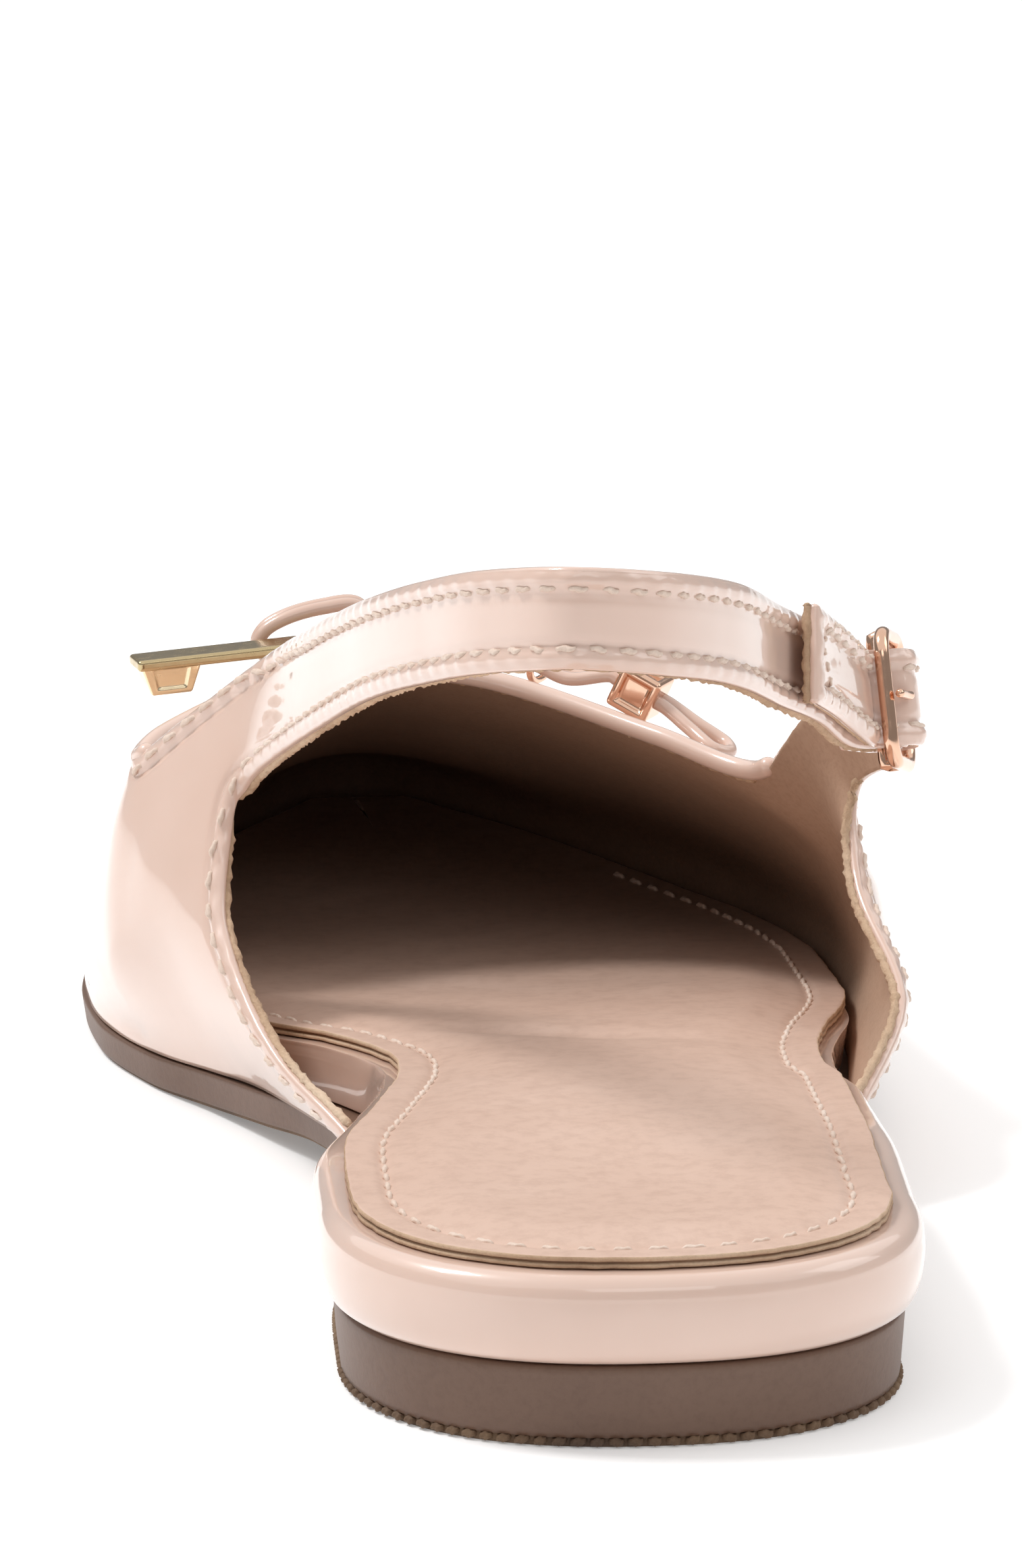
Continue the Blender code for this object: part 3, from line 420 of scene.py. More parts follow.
# %% Lining, sock, sole and thread
def painted_toe_shade(tree, colour, deep):
    """Painted shade inside the toe: the colour times a grey that falls from 1 to deep between the ball and
    the toe.
    """
    place = tree.nodes.new("ShaderNodeTexCoord")
    axes = tree.nodes.new("ShaderNodeSeparateXYZ")
    along_shoe = tree.nodes.new("ShaderNodeMapRange")
    along_shoe.inputs["From Min"].default_value = 0.100
    along_shoe.inputs["From Max"].default_value = 0.165
    tree.links.new(place.outputs["Object"], axes.inputs["Vector"])
    tree.links.new(axes.outputs["Y"], along_shoe.inputs["Value"])
    grey = ramp(tree, along_shoe.outputs["Result"], [(0.0, (1, 1, 1)), (1.0, (deep,) * 3)])
    return mix(tree, 1.0, colour, grey, "MULTIPLY")


def matt_leather(name, colour, dark, light, grain, depth, rough, deep=1.0):
    """A matt skin: broad clouds of colour, a fine grain and tiny pores, and with deep under 1 a painted shade
    that darkens it towards the toe.
    """
    made, tree, shader = finish_named(name, colour, rough)
    broad = ramp(tree, noise(tree, 38.0, 5.0, 0.6), [(0.30, dark), (0.52, colour), (0.75, light)])
    specks = ramp(tree, noise(tree, grain, 6.0, 0.7), [(0.35, (0.90, 0.88, 0.87)), (0.55, (1, 1, 1))])
    skin = mix(tree, 1.0, broad, specks, "MULTIPLY")
    # painted shade: the skin darkens towards the toe, where little light reaches inside the shoe
    if deep < 1:
        skin = painted_toe_shade(tree, skin, deep)
    tree.links.new(skin, shader.inputs["Base Color"])
    bump(tree, shader, noise(tree, grain, 6.0, 0.65), depth)
    return made


# deep sets the painted shade inside the toe of the lining and the sock
LINING = matt_leather(
    "lining microfibre", (0.500, 0.325, 0.225), (0.440, 0.280, 0.190), (0.560, 0.380, 0.270),
    grain=1500.0, depth=0.06 * MM, rough=0.72, deep=0.50)
SOCK = matt_leather(
    "sock leather", (0.650, 0.455, 0.360), (0.625, 0.430, 0.337), (0.680, 0.485, 0.390),
    grain=500.0, depth=0.03 * MM, rough=0.42, deep=0.70)
BROWN = matt_leather(
    "brown unit sole", (0.152, 0.084, 0.054), (0.135, 0.073, 0.046), (0.170, 0.098, 0.065),
    grain=1100.0, depth=0.05 * MM, rough=0.46)
RAW_EDGE = matt_leather(
    "raw cut edge", (0.620, 0.430, 0.285), (0.360, 0.215, 0.125), (0.780, 0.600, 0.440),
    grain=1800.0, depth=0.25 * MM, rough=0.85)
# a glue line, coloured dark also as painted shade in the groove between the sock's two layers
GLUE_LINE_WITH_PAINTED_SHADE = matt_leather(
    "glue line with painted shade", (0.360, 0.210, 0.130), (0.200, 0.110, 0.065), (0.480, 0.310, 0.210),
    grain=2000.0, depth=0.10 * MM, rough=0.80)
THREAD = matt_leather(
    "twisted thread", (0.760, 0.610, 0.510), (0.680, 0.520, 0.420), (0.840, 0.720, 0.630),
    grain=4000.0, depth=0.03 * MM, rough=0.50)
TREAD = matt_leather(
    "tread rim", (0.170, 0.100, 0.055), (0.070, 0.040, 0.025), (0.340, 0.230, 0.130),
    grain=1800.0, depth=0.15 * MM, rough=0.70)

# %% Rose gold
def plated(name, colour, rough):
    """Polished plating with hairline wear."""
    made, tree, shader = finish_named(name, colour, rough, 1.0)
    worn = ramp(tree, noise(tree, 700.0, 4.0, 0.6), [(0.4, (rough,) * 3), (0.7, (rough * 2.0,) * 3)])
    tree.links.new(worn, shader.inputs["Roughness"])
    bump(tree, shader, noise(tree, 350.0, 2.0), 0.02 * MM)
    return made


ROSE_GOLD = plated("rose gold", (0.78, 0.50, 0.36), 0.10)
PALE_GOLD = plated("pale gold", (0.80, 0.66, 0.44), 0.14)
DARK_GOLD = plated("dark gold", (0.56, 0.44, 0.25), 0.16)
print("finishes:", len(bpy.data.materials))

# %% [markdown]
# ## The unit sole
# A slab whose side is drawn from the ground up: tread rim, side wall and top line. The fine lugs
# of the moulded tread are a piece of their own, laid round the heel further on.

# %% Slabs
def slab(rows, spine_y):
    """Closed surface from outlines stacked in rows (rows, around, 3), closed along a spine.

    The first and last rows are joined to points on the middle line. A point's lengthwise place is
    the mean of the two edge points that face each other, held between spine_y, so both halves
    meet in the same points and the surface closes.
    """
    half = rows.shape[1] // 2
    caps = []
    for row in (rows[0], rows[-1]):
        middle = 0.5 * (row[:half] + row[half:][::-1])
        y = np.clip(0.5 * (row[:, 1] + row[::-1, 1]), *spine_y)
        cap = np.stack([np.interp(y, middle[:, 1], middle[:, k]) for k in range(3)], 1)
        cap[:, 1] = y
        caps.append(cap)
    grid = np.concatenate([caps[0][None], rows, caps[1][None]])
    return grid, grid_faces(len(grid), grid.shape[1], False, True)


SPINE = (-HEEL_REACH + 0.024, TOE_Y - 0.012)


def sole_row(outset, height):
    """One outline of the sole: outset in metres, height as a share."""
    row = outline(lambda side, y: -outset + 0 * y)
    under, top = sole_under(row[:, 1]), sole_top(row[:, 1])
    return np.column_stack([row, under + height * (top - under)])


tread_rows = np.stack([
    sole_row(-1.8 * MM, 0.0), sole_row(-1.15 * MM, 0.0), sole_row(-0.95 * MM, 0.03),
    sole_row(-0.95 * MM, 0.10), sole_row(-0.85 * MM, 0.115),
])
wall_rows = np.stack([
    sole_row(-0.60 * MM, 0.125), sole_row(-0.50 * MM, 0.20), sole_row(-0.38 * MM, 0.40),
    sole_row(-0.22 * MM, 0.65), sole_row(-0.08 * MM, 0.88), sole_row(-0.04 * MM, 0.95),
    sole_row(-0.20 * MM, 1.0), sole_row(-1.2 * MM, 1.0),
])
grid, faces = slab(np.concatenate([tread_rows, wall_rows]), SPINE)
around = grid.shape[1]
parts = np.where(np.arange(len(faces)) < len(tread_rows) * around, 1, 0).astype(np.int32)
make("sole_unit", grid, faces, [BROWN, TREAD], "outsole", parts=parts)

# %% [markdown]
# ## The platform
# A board wrapped in patent. Its rand has a rolled top edge, a shallow groove under the roll and a
# full side. At the inner waist the wrap gathers into creases.

# %% Platform
def bed_row(roll, lean, height, creased=0.0):
    """One outline of the platform: roll of the rand, lean of its top, height share."""

    def inset_of(side, y):
        shift = column(BED_EDGE, 1 if side < 0 else 2, y) * BALL_WIDTH
        spread = column(BED_EDGE, 4 if side < 0 else 5, y) * BALL_WIDTH
        swell = column(BED_EDGE, 3, y) * RAND_BULGE
        fold = 0.0
        if creased:
            here = np.exp(-((y - 0.062) / 0.016) ** 2) if side < 0 else np.exp(-((y - 0.066) / 0.012) ** 2)
            slant = y / MM + 6.0 * height
            ridges = np.sin(slant * 0.95) + 0.6 * np.sin(slant * 1.7 + 1.3) + 0.4 * np.sin(slant * 0.45)
            fold = creased * here * ridges * 0.45 * MM
        return shift - roll * swell - lean * spread + fold

    plan = outline(inset_of)
    foot, top = sole_top(plan[:, 1]) + FIT_GAP, bed_top(plan[:, 1])
    return np.column_stack([plan, foot + height * (top - foot)])


rand_profile = [
    (-0.10, 0.0, 0.00, 0.0), (0.12, 0.0, 0.01, 0.2), (0.42, 0.05, 0.06, 0.6), (0.66, 0.1, 0.14, 0.9),
    (0.84, 0.2, 0.25, 1.0), (0.94, 0.3, 0.36, 1.0), (1.00, 0.4, 0.48, 1.0), (1.01, 0.5, 0.58, 1.0),
    (0.99, 0.6, 0.66, 1.0), (0.96, 0.65, 0.71, 0.9), (0.945, 0.7, 0.735, 0.8), (0.94, 0.7, 0.755, 0.8),
    (0.92, 0.75, 0.79, 0.8), (0.86, 0.8, 0.84, 0.7), (0.74, 0.85, 0.89, 0.6), (0.54, 0.9, 0.94, 0.4),
    (0.30, 1.0, 0.975, 0.3), (0.02, 1.0, 0.995, 0.1), (-0.35, 1.0, 1.0, 0.0), (-0.9, 0.95, 1.0, 0.0),
]
bed_rows = np.stack([bed_row(*row) for row in rand_profile])
closed_toe = np.minimum(bed_rows[..., 1], TOE_Y - 3.6 * MM)
bed_rows[..., 1] = closed_toe
grid, faces = slab(bed_rows, (SPINE[0], SPINE[1] - 4 * MM))
make("platform_wrap", grid, faces, PATENT, "footbed")

# %% [markdown]
# ## The sock
# Two thin layers glued together, cut with raw edges, lightly padded inside a line of stitches.
# Its top is a fan from the outline to the middle line, so rings near the edge follow the cut.

# %% Sock surface
def sock_outline(inset):
    """The sock's cut edge, moved in by inset, at the height of the platform."""

    def inset_of(side, y):
        shift = column(BED_EDGE, 1 if side < 0 else 2, y) * BALL_WIDTH
        spread = column(BED_EDGE, 4 if side < 0 else 5, y) * BALL_WIDTH
        fore = step_between(y, 90 * MM, 115 * MM)
        return shift - 0.8 * spread + INSOLE_INSET * (1 - 1.3 * fore) + inset

    plan = outline(inset_of)
    plan[:, 1] = np.minimum(plan[:, 1], TOE_Y - 8.0 * MM)
    return plan


SOCK_SEAM = 4.0 * MM


def sock_relief(plan, inward):
    """Height over the flat sock: a pad inside the seam, a heel cup and a few soft dents."""
    pad = 0.75 * MM * step_between(inward, 4.6 * MM, 11.0 * MM)
    seam = -0.45 * MM * np.exp(-((inward - SOCK_SEAM) / (0.7 * MM)) ** 2)
    x, y = plan[..., 0] / MM, plan[..., 1] / MM
    cup = -0.9 * np.exp(-((x - 1) / 15) ** 2 - ((y - 4) / 17) ** 2)
    shank = 0.55 * np.exp(-((x - 6) / 16) ** 2 - ((y - 62) / 20) ** 2)
    ball = -0.9 * np.exp(-((x + 4) / 24) ** 2 - ((y - 128) / 26) ** 2)
    inside = step_between(inward, 5.0 * MM, 14.0 * MM)
    heelward = 1 - step_between(y, 110, 150)
    crease = -0.8 * np.exp(-((y - 84 + 0.5 * x) / 3.5) ** 2 - ((x - 2) / 17) ** 2)
    soft = 0.22 * wave(np.stack([x, y, 0 * x], -1), (26.0, 15.0, 9.0), 4)
    return (pad + seam) * heelward + (cup + shank + ball + soft + crease) * MM * inside


def sock_height(y):
    """Upper face of the sock before its relief."""
    return bed_top(y) + FIT_GAP + INSOLE_THICKNESS


cut = sock_outline(0.0)
half = len(STATIONS)
spine_y = np.clip(0.5 * (cut[:, 1] + cut[::-1, 1]), SPINE[0], SPINE[1] - 10 * MM)
middle = 0.5 * (cut[:half] + cut[half:][::-1])
spine = np.column_stack([np.interp(spine_y, middle[:, 1], middle[:, 0]), spine_y])
reach = np.linalg.norm(cut - spine, axis=1)
rough_cut = 0.17 * MM * wave(np.column_stack([cut, 0 * spine_y]), (1.1 * MM, 0.7 * MM), 8)
edge_share = np.concatenate([np.linspace(0, 0.8, 22), 1 - np.geomspace(0.18, 0.012, 26)])
top_rows = []
for share in edge_share:
    plan = spine + share * (cut - spine)
    top_rows.append(np.column_stack([plan, sock_height(plan[:, 1]) + sock_relief(plan, (1 - share) * reach)]))
edge_profile = [
    (0.12, -0.05), (0.0, -0.12), (0.0, -0.48), (0.45, -0.55), (0.45, -0.78), (0.05, -0.84),
    (0.0, -1.20), (0.9, -1.34),
]
side_rows = []
for inset, drop in edge_profile:
    plan = edge = sock_outline(inset * MM)
    plan = edge + (rough_cut * (1.6 if drop < -0.7 else 1.0))[:, None] * unit(edge - spine)
    side_rows.append(np.column_stack([plan, sock_height(plan[:, 1]) + drop * MM]))
top_rows[0] = 0.5 * (top_rows[0] + top_rows[0][::-1])  # one height where the halves meet
rows = np.stack(top_rows + side_rows)
under = np.column_stack([spine, sock_height(spine[:, 1]) - 1.34 * MM])
rows = np.concatenate([rows, under[None]])
faces = grid_faces(len(rows), rows.shape[1], False, True)
layer = np.repeat(np.arange(len(rows) - 1), rows.shape[1])
first_side = len(top_rows)
# part 2 is the groove between the two layers: glue line and painted shade
parts = np.select([layer < first_side, layer <= first_side + 1, layer <= first_side + 3], [0, 1, 2], 1)
parts = parts.astype(np.int32)
make("sock", rows, faces, [SOCK, RAW_EDGE, GLUE_LINE_WITH_PAINTED_SHADE], "insole", parts=parts)

# %% [markdown]
# ## The upper
# One sheet: ribs run from the sole's edge up to the throat, and at both ends the sheet carries on
# as a strap. Its outer face is patent, its inner face the lining, and round the cut edges the
# patent is turned in over the lining, which leaves a raised roll with a row of stitches.

# %% Ribs, from the inner back edge round the toe to the outer back edge
RIBS = np.array([
    [0.250, -0.318, 0.295, 0.267, -0.380, 0.371, 0.600, -0.345, 0.398, 0.900],
    [0.371, -0.437, 0.402, 0.444, -0.420, 0.409, 0.822, -0.290, 0.398, 1.218],
    [0.417, -0.475, 0.432, 0.422, -0.460, 0.434, 0.756, -0.379, 0.429, 1.058],
    [0.460, -0.501, 0.458, 0.356, -0.498, 0.458, 0.667, -0.467, 0.458, 0.871],
    [0.508, -0.517, 0.504, 0.311, -0.501, 0.496, 0.600, -0.437, 0.485, 0.893],
    [0.568, -0.521, 0.561, 0.289, -0.474, 0.545, 0.600, -0.328, 0.521, 0.951],
    [0.652, -0.490, 0.644, 0.289, -0.385, 0.610, 0.600, -0.224, 0.538, 0.991],
    [0.771, -0.331, 0.758, 0.322, -0.259, 0.674, 0.600, -0.167, 0.543, 1.000],
    [0.886, -0.072, 0.869, 0.378, -0.092, 0.731, 0.578, -0.115, 0.545, 1.002],
    [0.777, 0.218, 0.765, 0.322, 0.103, 0.674, 0.589, -0.046, 0.540, 0.996],
    [0.663, 0.420, 0.655, 0.289, 0.259, 0.610, 0.589, 0.034, 0.530, 0.976],
    [0.568, 0.494, 0.561, 0.289, 0.379, 0.542, 0.589, 0.126, 0.513, 0.933],
    [0.504, 0.501, 0.500, 0.300, 0.437, 0.492, 0.589, 0.241, 0.481, 0.876],
    [0.451, 0.500, 0.451, 0.311, 0.466, 0.449, 0.589, 0.359, 0.443, 0.827],
    [0.352, 0.494, 0.375, 0.400, 0.463, 0.394, 0.711, 0.379, 0.379, 1.133],
    [0.235, 0.468, 0.284, 0.433, 0.441, 0.352, 0.644, 0.445, 0.396, 0.889],
])
TOE_RIB, INNER_LOW, OUTER_LOW = 8, 3, 13
ACROSS, PER_RIB, LAST_GAP = 25, 12, len(RIBS) - 2
EDGE_AHEAD = 0.78
RISE = 1 - (1 - np.linspace(0, 1, 84)) ** 1.12


def rib_curves():
    """Each rib as a curve: foot, upright start, wall, shoulder and top.

    The two back edges slant, so their points run ahead by a t (1 - t) to stay level with the rest.
    """
    scale = np.array([BALL_WIDTH, SHOE_LENGTH, THROAT_HEIGHT])
    curves = []
    for number, row in enumerate(RIBS):
        side = -1 if number <= TOE_RIB else 1
        foot_y = np.array([min(row[0] * SHOE_LENGTH, TOE_Y - 0.01 * MM)])
        plan = edge_points(side, UPPER_INSET, foot_y)[0]
        foot = np.array([*plan, sole_top(plan[1:])[0] + FIT_GAP])
        marks = row[1:].reshape(3, 3) * scale
        path = smooth([foot, foot + [0, 0, UPPER_WALL], *marks], 40)
        ahead = EDGE_AHEAD if number in (0, len(RIBS) - 1) else 0
        curves.append(at_length(path, (RISE + ahead * RISE * (1 - RISE)) * run_of(path)[-1]))
    return np.array(curves)


turn = 0.5 - 0.5 * np.cos(np.linspace(0, np.pi, ACROSS))
between = np.arange(PER_RIB + 1, LAST_GAP * PER_RIB) / PER_RIB
RIB_AT = np.concatenate([turn, between, LAST_GAP + turn])
ribs = curve_at(rib_curves(), RIB_AT)
HIGH, WIDE = ribs.shape[1], ribs.shape[0]
print("upper grid:", ribs.shape)

# %% Buckle's own axes
BUCKLE_PLACE = np.array([0.446 * BALL_WIDTH, 0.274 * SHOE_LENGTH, 0.711 * STRAP_HEIGHT])
BUCKLE_LENGTH, BUCKLE_WIDTH, BUCKLE_WIRE = 14.0 * MM, 15.6 * MM, 1.7 * MM
BAR_RADIUS, PRONG_RADIUS, BAR_DEPTH = 0.8 * MM, 0.5 * MM, -1.7 * MM
BUCKLE_RUN = unit(np.array([0.29, 0.92, -0.27]))
BUCKLE_ACROSS = np.array([-0.16, 0.0, 1.0])
BUCKLE_ACROSS = unit(BUCKLE_ACROSS - BUCKLE_RUN * (BUCKLE_ACROSS @ BUCKLE_RUN))
BUCKLE_OUT = np.cross(BUCKLE_RUN, BUCKLE_ACROSS)
HEEL_STRAP_REACH = BAR_RADIUS + FIT_GAP + UPPER_WALL
EAR_STRAP_REACH = HEEL_STRAP_REACH + FIT_GAP + UPPER_WALL
UNDER_FRAME = -(BUCKLE_WIRE / 2 + FIT_GAP)


def buckle_point(length, out):
    """A point in the buckle's plane, length along the strap and out from the foot."""
    return BUCKLE_PLACE + length * BUCKLE_RUN + out * BUCKLE_OUT


# %% Straps: x, y, z, lean of the upper edge, width
HEEL_STRAP = np.array([
    [-0.293, 0.333, 0.704, 0.14, 1.18], [-0.264, 0.265, 0.784, 0.04, 1.06],
    [-0.236, 0.197, 0.857, 0.00, 1.00], [-0.195, 0.133, 0.920, 0.00, 1.00],
    [-0.138, 0.076, 0.972, 0.00, 1.00], [-0.046, 0.038, 1.000, 0.00, 1.00],
    [0.057, 0.049, 0.984, 0.00, 1.00], [0.172, 0.100, 0.933, -0.02, 1.00],
    [0.264, 0.170, 0.850, -0.08, 1.00], [0.325, 0.214, 0.796, -0.14, 1.00],
])
EAR_STRAP = np.array([[0.448, 0.360, 0.621, -0.30, 1.15], [0.469, 0.330, 0.651, -0.22, 1.02]])
TAB = np.array([[0.351, 0.212, 0.800, -0.14, 1.00], [0.305, 0.173, 0.852, -0.08, 1.00]])


def strap_rows(table):
    """Place, width direction at strap scale, and width of each listed row."""
    place = table[:, :3] * np.array([BALL_WIDTH, SHOE_LENGTH, STRAP_HEIGHT])
    up = unit(np.column_stack([table[:, 3], 0 * table[:, 3], 1 + 0 * table[:, 3]])) * STRAP_WIDTH
    return np.column_stack([place, up, table[:, 4] * STRAP_WIDTH])


def buckle_rows(places):
    """The same columns for points in the buckle's plane."""
    return np.array([[*buckle_point(a, b), *(BUCKLE_ACROSS * STRAP_WIDTH), STRAP_WIDTH] for a, b in places])


def fold(reach, start, stop, count):
    """Places round the buckle's bar, in degrees from outwards."""
    a = np.radians(np.linspace(start, stop, count))
    return np.column_stack([reach * np.sin(a), BAR_DEPTH + reach * np.cos(a)])


under = UNDER_FRAME - UPPER_WALL - 2 * FIT_GAP
back = BAR_DEPTH - HEEL_STRAP_REACH - 1.4 * MM
heel_rows = np.concatenate([
    strap_rows(HEEL_STRAP), buckle_rows([(-0.48 * BUCKLE_LENGTH, under)]),
    buckle_rows(fold(HEEL_STRAP_REACH, -35, 180, 7)), buckle_rows([(-0.40 * BUCKLE_LENGTH, back)]),
])
low = UNDER_FRAME - FIT_GAP
ear_rows = np.concatenate([
    strap_rows(EAR_STRAP), buckle_rows([(0.62 * BUCKLE_LENGTH, low), (0.38 * BUCKLE_LENGTH, low)]),
    buckle_rows(fold(EAR_STRAP_REACH, 35, -35, 3)),
    buckle_rows([(-0.37 * BUCKLE_LENGTH, low), (-0.52 * BUCKLE_LENGTH, low)]), strap_rows(TAB),
])


def strap_band(root, table, steps):
    """The sheet carried on from its root row: point = place + share * width * across."""
    first = root[-1] - root[0]
    sign = 1 if first[2] > 0 else -1
    start = [*root.mean(0), *(unit(first) * sign * STRAP_WIDTH), np.linalg.norm(first)]
    dense = smooth(np.vstack([start, table]), steps)
    run = unit(np.gradient(dense[:, :3], axis=0))
    across = dense[:, 3:6] - run * np.sum(dense[:, 3:6] * run, 1, keepdims=True)
    share = np.cumsum([0, *np.linalg.norm(np.diff(root, axis=0), axis=1)])
    share = share / share[-1] - 0.5
    width = dense[:, 6][:, None, None]
    return (dense[:, None, :3] + unit(across)[:, None] * sign * share[:, None] * width)[1:]


heel_band = strap_band(ribs[:ACROSS, -1], heel_rows, 16)
ear_band = strap_band(ribs[-ACROSS:, -1], ear_rows, 14)
print("heel strap rows:", len(heel_band), "ear strap rows:", len(ear_band))

# %% The sheet and its edge
sheet = np.concatenate([ribs.reshape(-1, 3), heel_band.reshape(-1, 3), ear_band.reshape(-1, 3)])
number = np.arange(WIDE * HIGH).reshape(WIDE, HIGH)
heel_number = WIDE * HIGH + np.arange(heel_band.shape[0] * ACROSS).reshape(-1, ACROSS)
ear_number = heel_number.max() + 1 + np.arange(ear_band.shape[0] * ACROSS).reshape(-1, ACROSS)
heel_full = np.vstack([number[:ACROSS, -1], heel_number])
ear_full = np.vstack([number[-ACROSS:, -1], ear_number])


def quads(table):
    """Quads over a table of point numbers."""
    q = np.stack([table[:-1, :-1], table[:-1, 1:], table[1:, 1:], table[1:, :-1]], -1)
    return q.reshape(-1, 4)


body = quads(number)
straps = np.concatenate([quads(heel_full), quads(ear_full)])[:, ::-1]
sheet_faces = np.concatenate([body, straps])


def eased(points, faces, centres, reach, rounds, edge_share):
    """Points near some centres moved again and again to the mean of their neighbours.

    An edge of the sheet only follows its own line, by a share of the pull, and the foot stays.
    The pull is strongest at a centre and 0 at the reach.
    """
    sides = np.sort(np.concatenate([faces[:, [k, (k + 1) % 4]] for k in range(4)]), axis=1)
    sides, used = np.unique(sides, axis=0, return_counts=True)
    rim = np.zeros(len(points), bool)
    rim[sides[used == 1]] = True
    far = np.linalg.norm(points[:, None] - centres[None, ::3], axis=-1).min(1)
    over_sole = points[:, 2] - sole_top(points[:, 1])
    pull = 0.7 * step_between(reach - far, 0, 0.6 * reach) * np.where(rim, edge_share, 1)
    pull = pull * step_between(over_sole, 0.4 * MM, 1.2 * MM)
    source, target = np.concatenate([sides, sides[:, ::-1]]).T
    wanted = (np.tile(used == 1, 2) | ~rim[target]) & (pull[target] > 0)
    source, target = source[wanted], target[wanted]
    moved, at = np.unique(target, return_inverse=True)
    weight = np.bincount(at)[:, None]
    strength = pull[moved][:, None]
    points = points.copy()
    for _ in range(rounds):
        total = np.stack([np.bincount(at, points[source, k]) for k in range(3)], 1)
        points[moved] += strength * (total / weight - points[moved])
    return points


for line, reach_mm, rounds, edge_share in (
    (number[:ACROSS, -1], 18, 400, 0.25), (number[-ACROSS:, -1], 14, 500, 0.8),
    (number[4:40, 6], 16, 350, 0.1),
):
    sheet = eased(sheet, sheet_faces, sheet[line], reach_mm * MM, rounds, edge_share)
up = normals_of(sheet, sheet_faces)
toe_middle = number[WIDE // 2, HIGH // 2]
if up[toe_middle][2] < 0:
    up = -up

LOW_IN = ACROSS + (INNER_LOW - 1) * PER_RIB - 1
LOW_OUT = ACROSS + (OUTER_LOW - 1) * PER_RIB - 1
inner_edge = np.concatenate([
    number[0, :], heel_number[:, 0], heel_number[-1, 1:], heel_number[:-1, -1][::-1],
    number[ACROSS - 1 : LOW_IN, -1],
])
outer_edge = np.concatenate([
    number[LOW_OUT:-ACROSS + 1, -1], ear_number[:, 0], ear_number[-1, 1:], ear_number[:-1, -1][::-1],
    number[-1, ::-1],
])
throat_edge = number[LOW_IN:LOW_OUT, -1]
foot_edge = number[::-1, 0][1:-1]
loop = np.concatenate([inner_edge, throat_edge, outer_edge, foot_edge])
print("points round the sheet:", len(loop))


def nearest_edge(points, edge, pace):
    """Distance to a dense edge line, and the place along it, worked out a block at a time."""
    line = at_length(sheet[edge], np.arange(0, run_of(sheet[edge])[-1], pace))
    far, where = np.empty(len(points)), np.empty(len(points))
    for start in range(0, len(points), 4000):
        block = points[start : start + 4000]
        gap = ((block[:, None] - line[None]) ** 2).sum(-1)
        pick = gap.argmin(1)
        far[start : start + 4000] = np.sqrt(gap[np.arange(len(block)), pick])
        where[start : start + 4000] = pick * pace
    return far, where


in_far, in_run = nearest_edge(sheet, inner_edge, 0.25 * MM)
out_far, out_run = nearest_edge(sheet, outer_edge, 0.25 * MM)
edge_far = np.minimum(in_far, out_far)
edge_run = np.where(in_far < out_far, in_run, out_run)

# %% Relief of the folded edges
SEAM_IN = 2.1 * MM
STITCH_PITCH = 3.5 * MM


def fold_relief(far, run):
    """Rolled edge: raised by 0.44 mm between edge and seam, sunk at the seam, with small puckers."""
    pucker = 1 + 0.30 * np.sin(2 * np.pi * run / STITCH_PITCH)
    roll = np.clip(1 - ((far - 1.0 * MM) / (1.05 * MM)) ** 2, -0.5, 1)
    raised = 0.44 * MM * roll * pucker * (far < SEAM_IN)
    seam = -0.32 * MM * np.exp(-((far - SEAM_IN) / (0.42 * MM)) ** 2)
    return np.where(far < SEAM_IN, raised, 0) + seam


outer = sheet + up * fold_relief(edge_far, edge_run)[:, None]
ripple = 0.10 * MM * wave(sheet, (34 * MM, 19 * MM), 5) * step_between(edge_far, 4 * MM, 12 * MM)
foot_fade = step_between(sheet[:, 2] - sole_top(sheet[:, 1]), 1 * MM, 6 * MM)
outer = outer + up * (ripple * foot_fade)[:, None]
inner = sheet - up * (UPPER_WALL - 0.1 * MM)

# %% Rim: patent turned over the edge, then the raw lining
along_loop = unit(np.roll(sheet[loop], -1, 0) - np.roll(sheet[loop], 1, 0))
away = unit(np.cross(along_loop, up[loop]))
probe = sheet[loop[4]] - sheet[number[3, 4]]
if away[4] @ probe < 0:
    away = -away
frill = 0.16 * MM * wave(sheet[loop], (1.3 * MM, 0.8 * MM), 11)
is_foot = np.zeros(len(loop), bool)
is_foot[-len(foot_edge):] = True
turned = np.where(is_foot, 0.0, 1.0)
rim_rows = []
for out_by, deep in ((0.22, 0.10), (0.32, 0.42), (0.22, 0.78), (0.02, 0.92)):
    rim_rows.append(sheet[loop] + away * (out_by * MM * turned)[:, None] - up[loop] * deep * MM)
rim_rows.append(sheet[loop] + away * ((0.05 * MM + frill) * turned)[:, None] - up[loop] * 1.08 * MM)
rim_rows.append(sheet[loop] + away * (frill * turned)[:, None] - up[loop] * 1.36 * MM)
rim = np.concatenate(rim_rows)
count = len(sheet)
points = np.concatenate([outer, inner, rim])
lines = [2 * count + k * len(loop) + np.arange(len(loop)) for k in range(len(rim_rows))]
ring = [loop, *lines, loop + count]
rim_faces, rim_parts = [], []
for k in range(len(ring) - 1):
    a, b = ring[k], ring[k + 1]
    rim_faces.append(np.stack([a, np.roll(a, -1), np.roll(b, -1), b], 1))
    rim_parts.append(np.full(len(loop), 0 if k < 4 else 2))
faces = np.concatenate([sheet_faces, sheet_faces + count, *rim_faces])
parts = np.concatenate([0 * sheet_faces[:, 0], 1 + 0 * sheet_faces[:, 0], *rim_parts]).astype(np.int32)
make("upper_skin", points, faces, [PATENT, LINING, RAW_EDGE], "upper", merge=0, parts=parts)

# %% [markdown]
# ## Stitches
# A lockstitch shows as short twisted threads with a gap between them. One stitch is a tube whose
# thickness swings twice round as it runs along, so two plies seem to twist, and its ends dive
# into the leather.

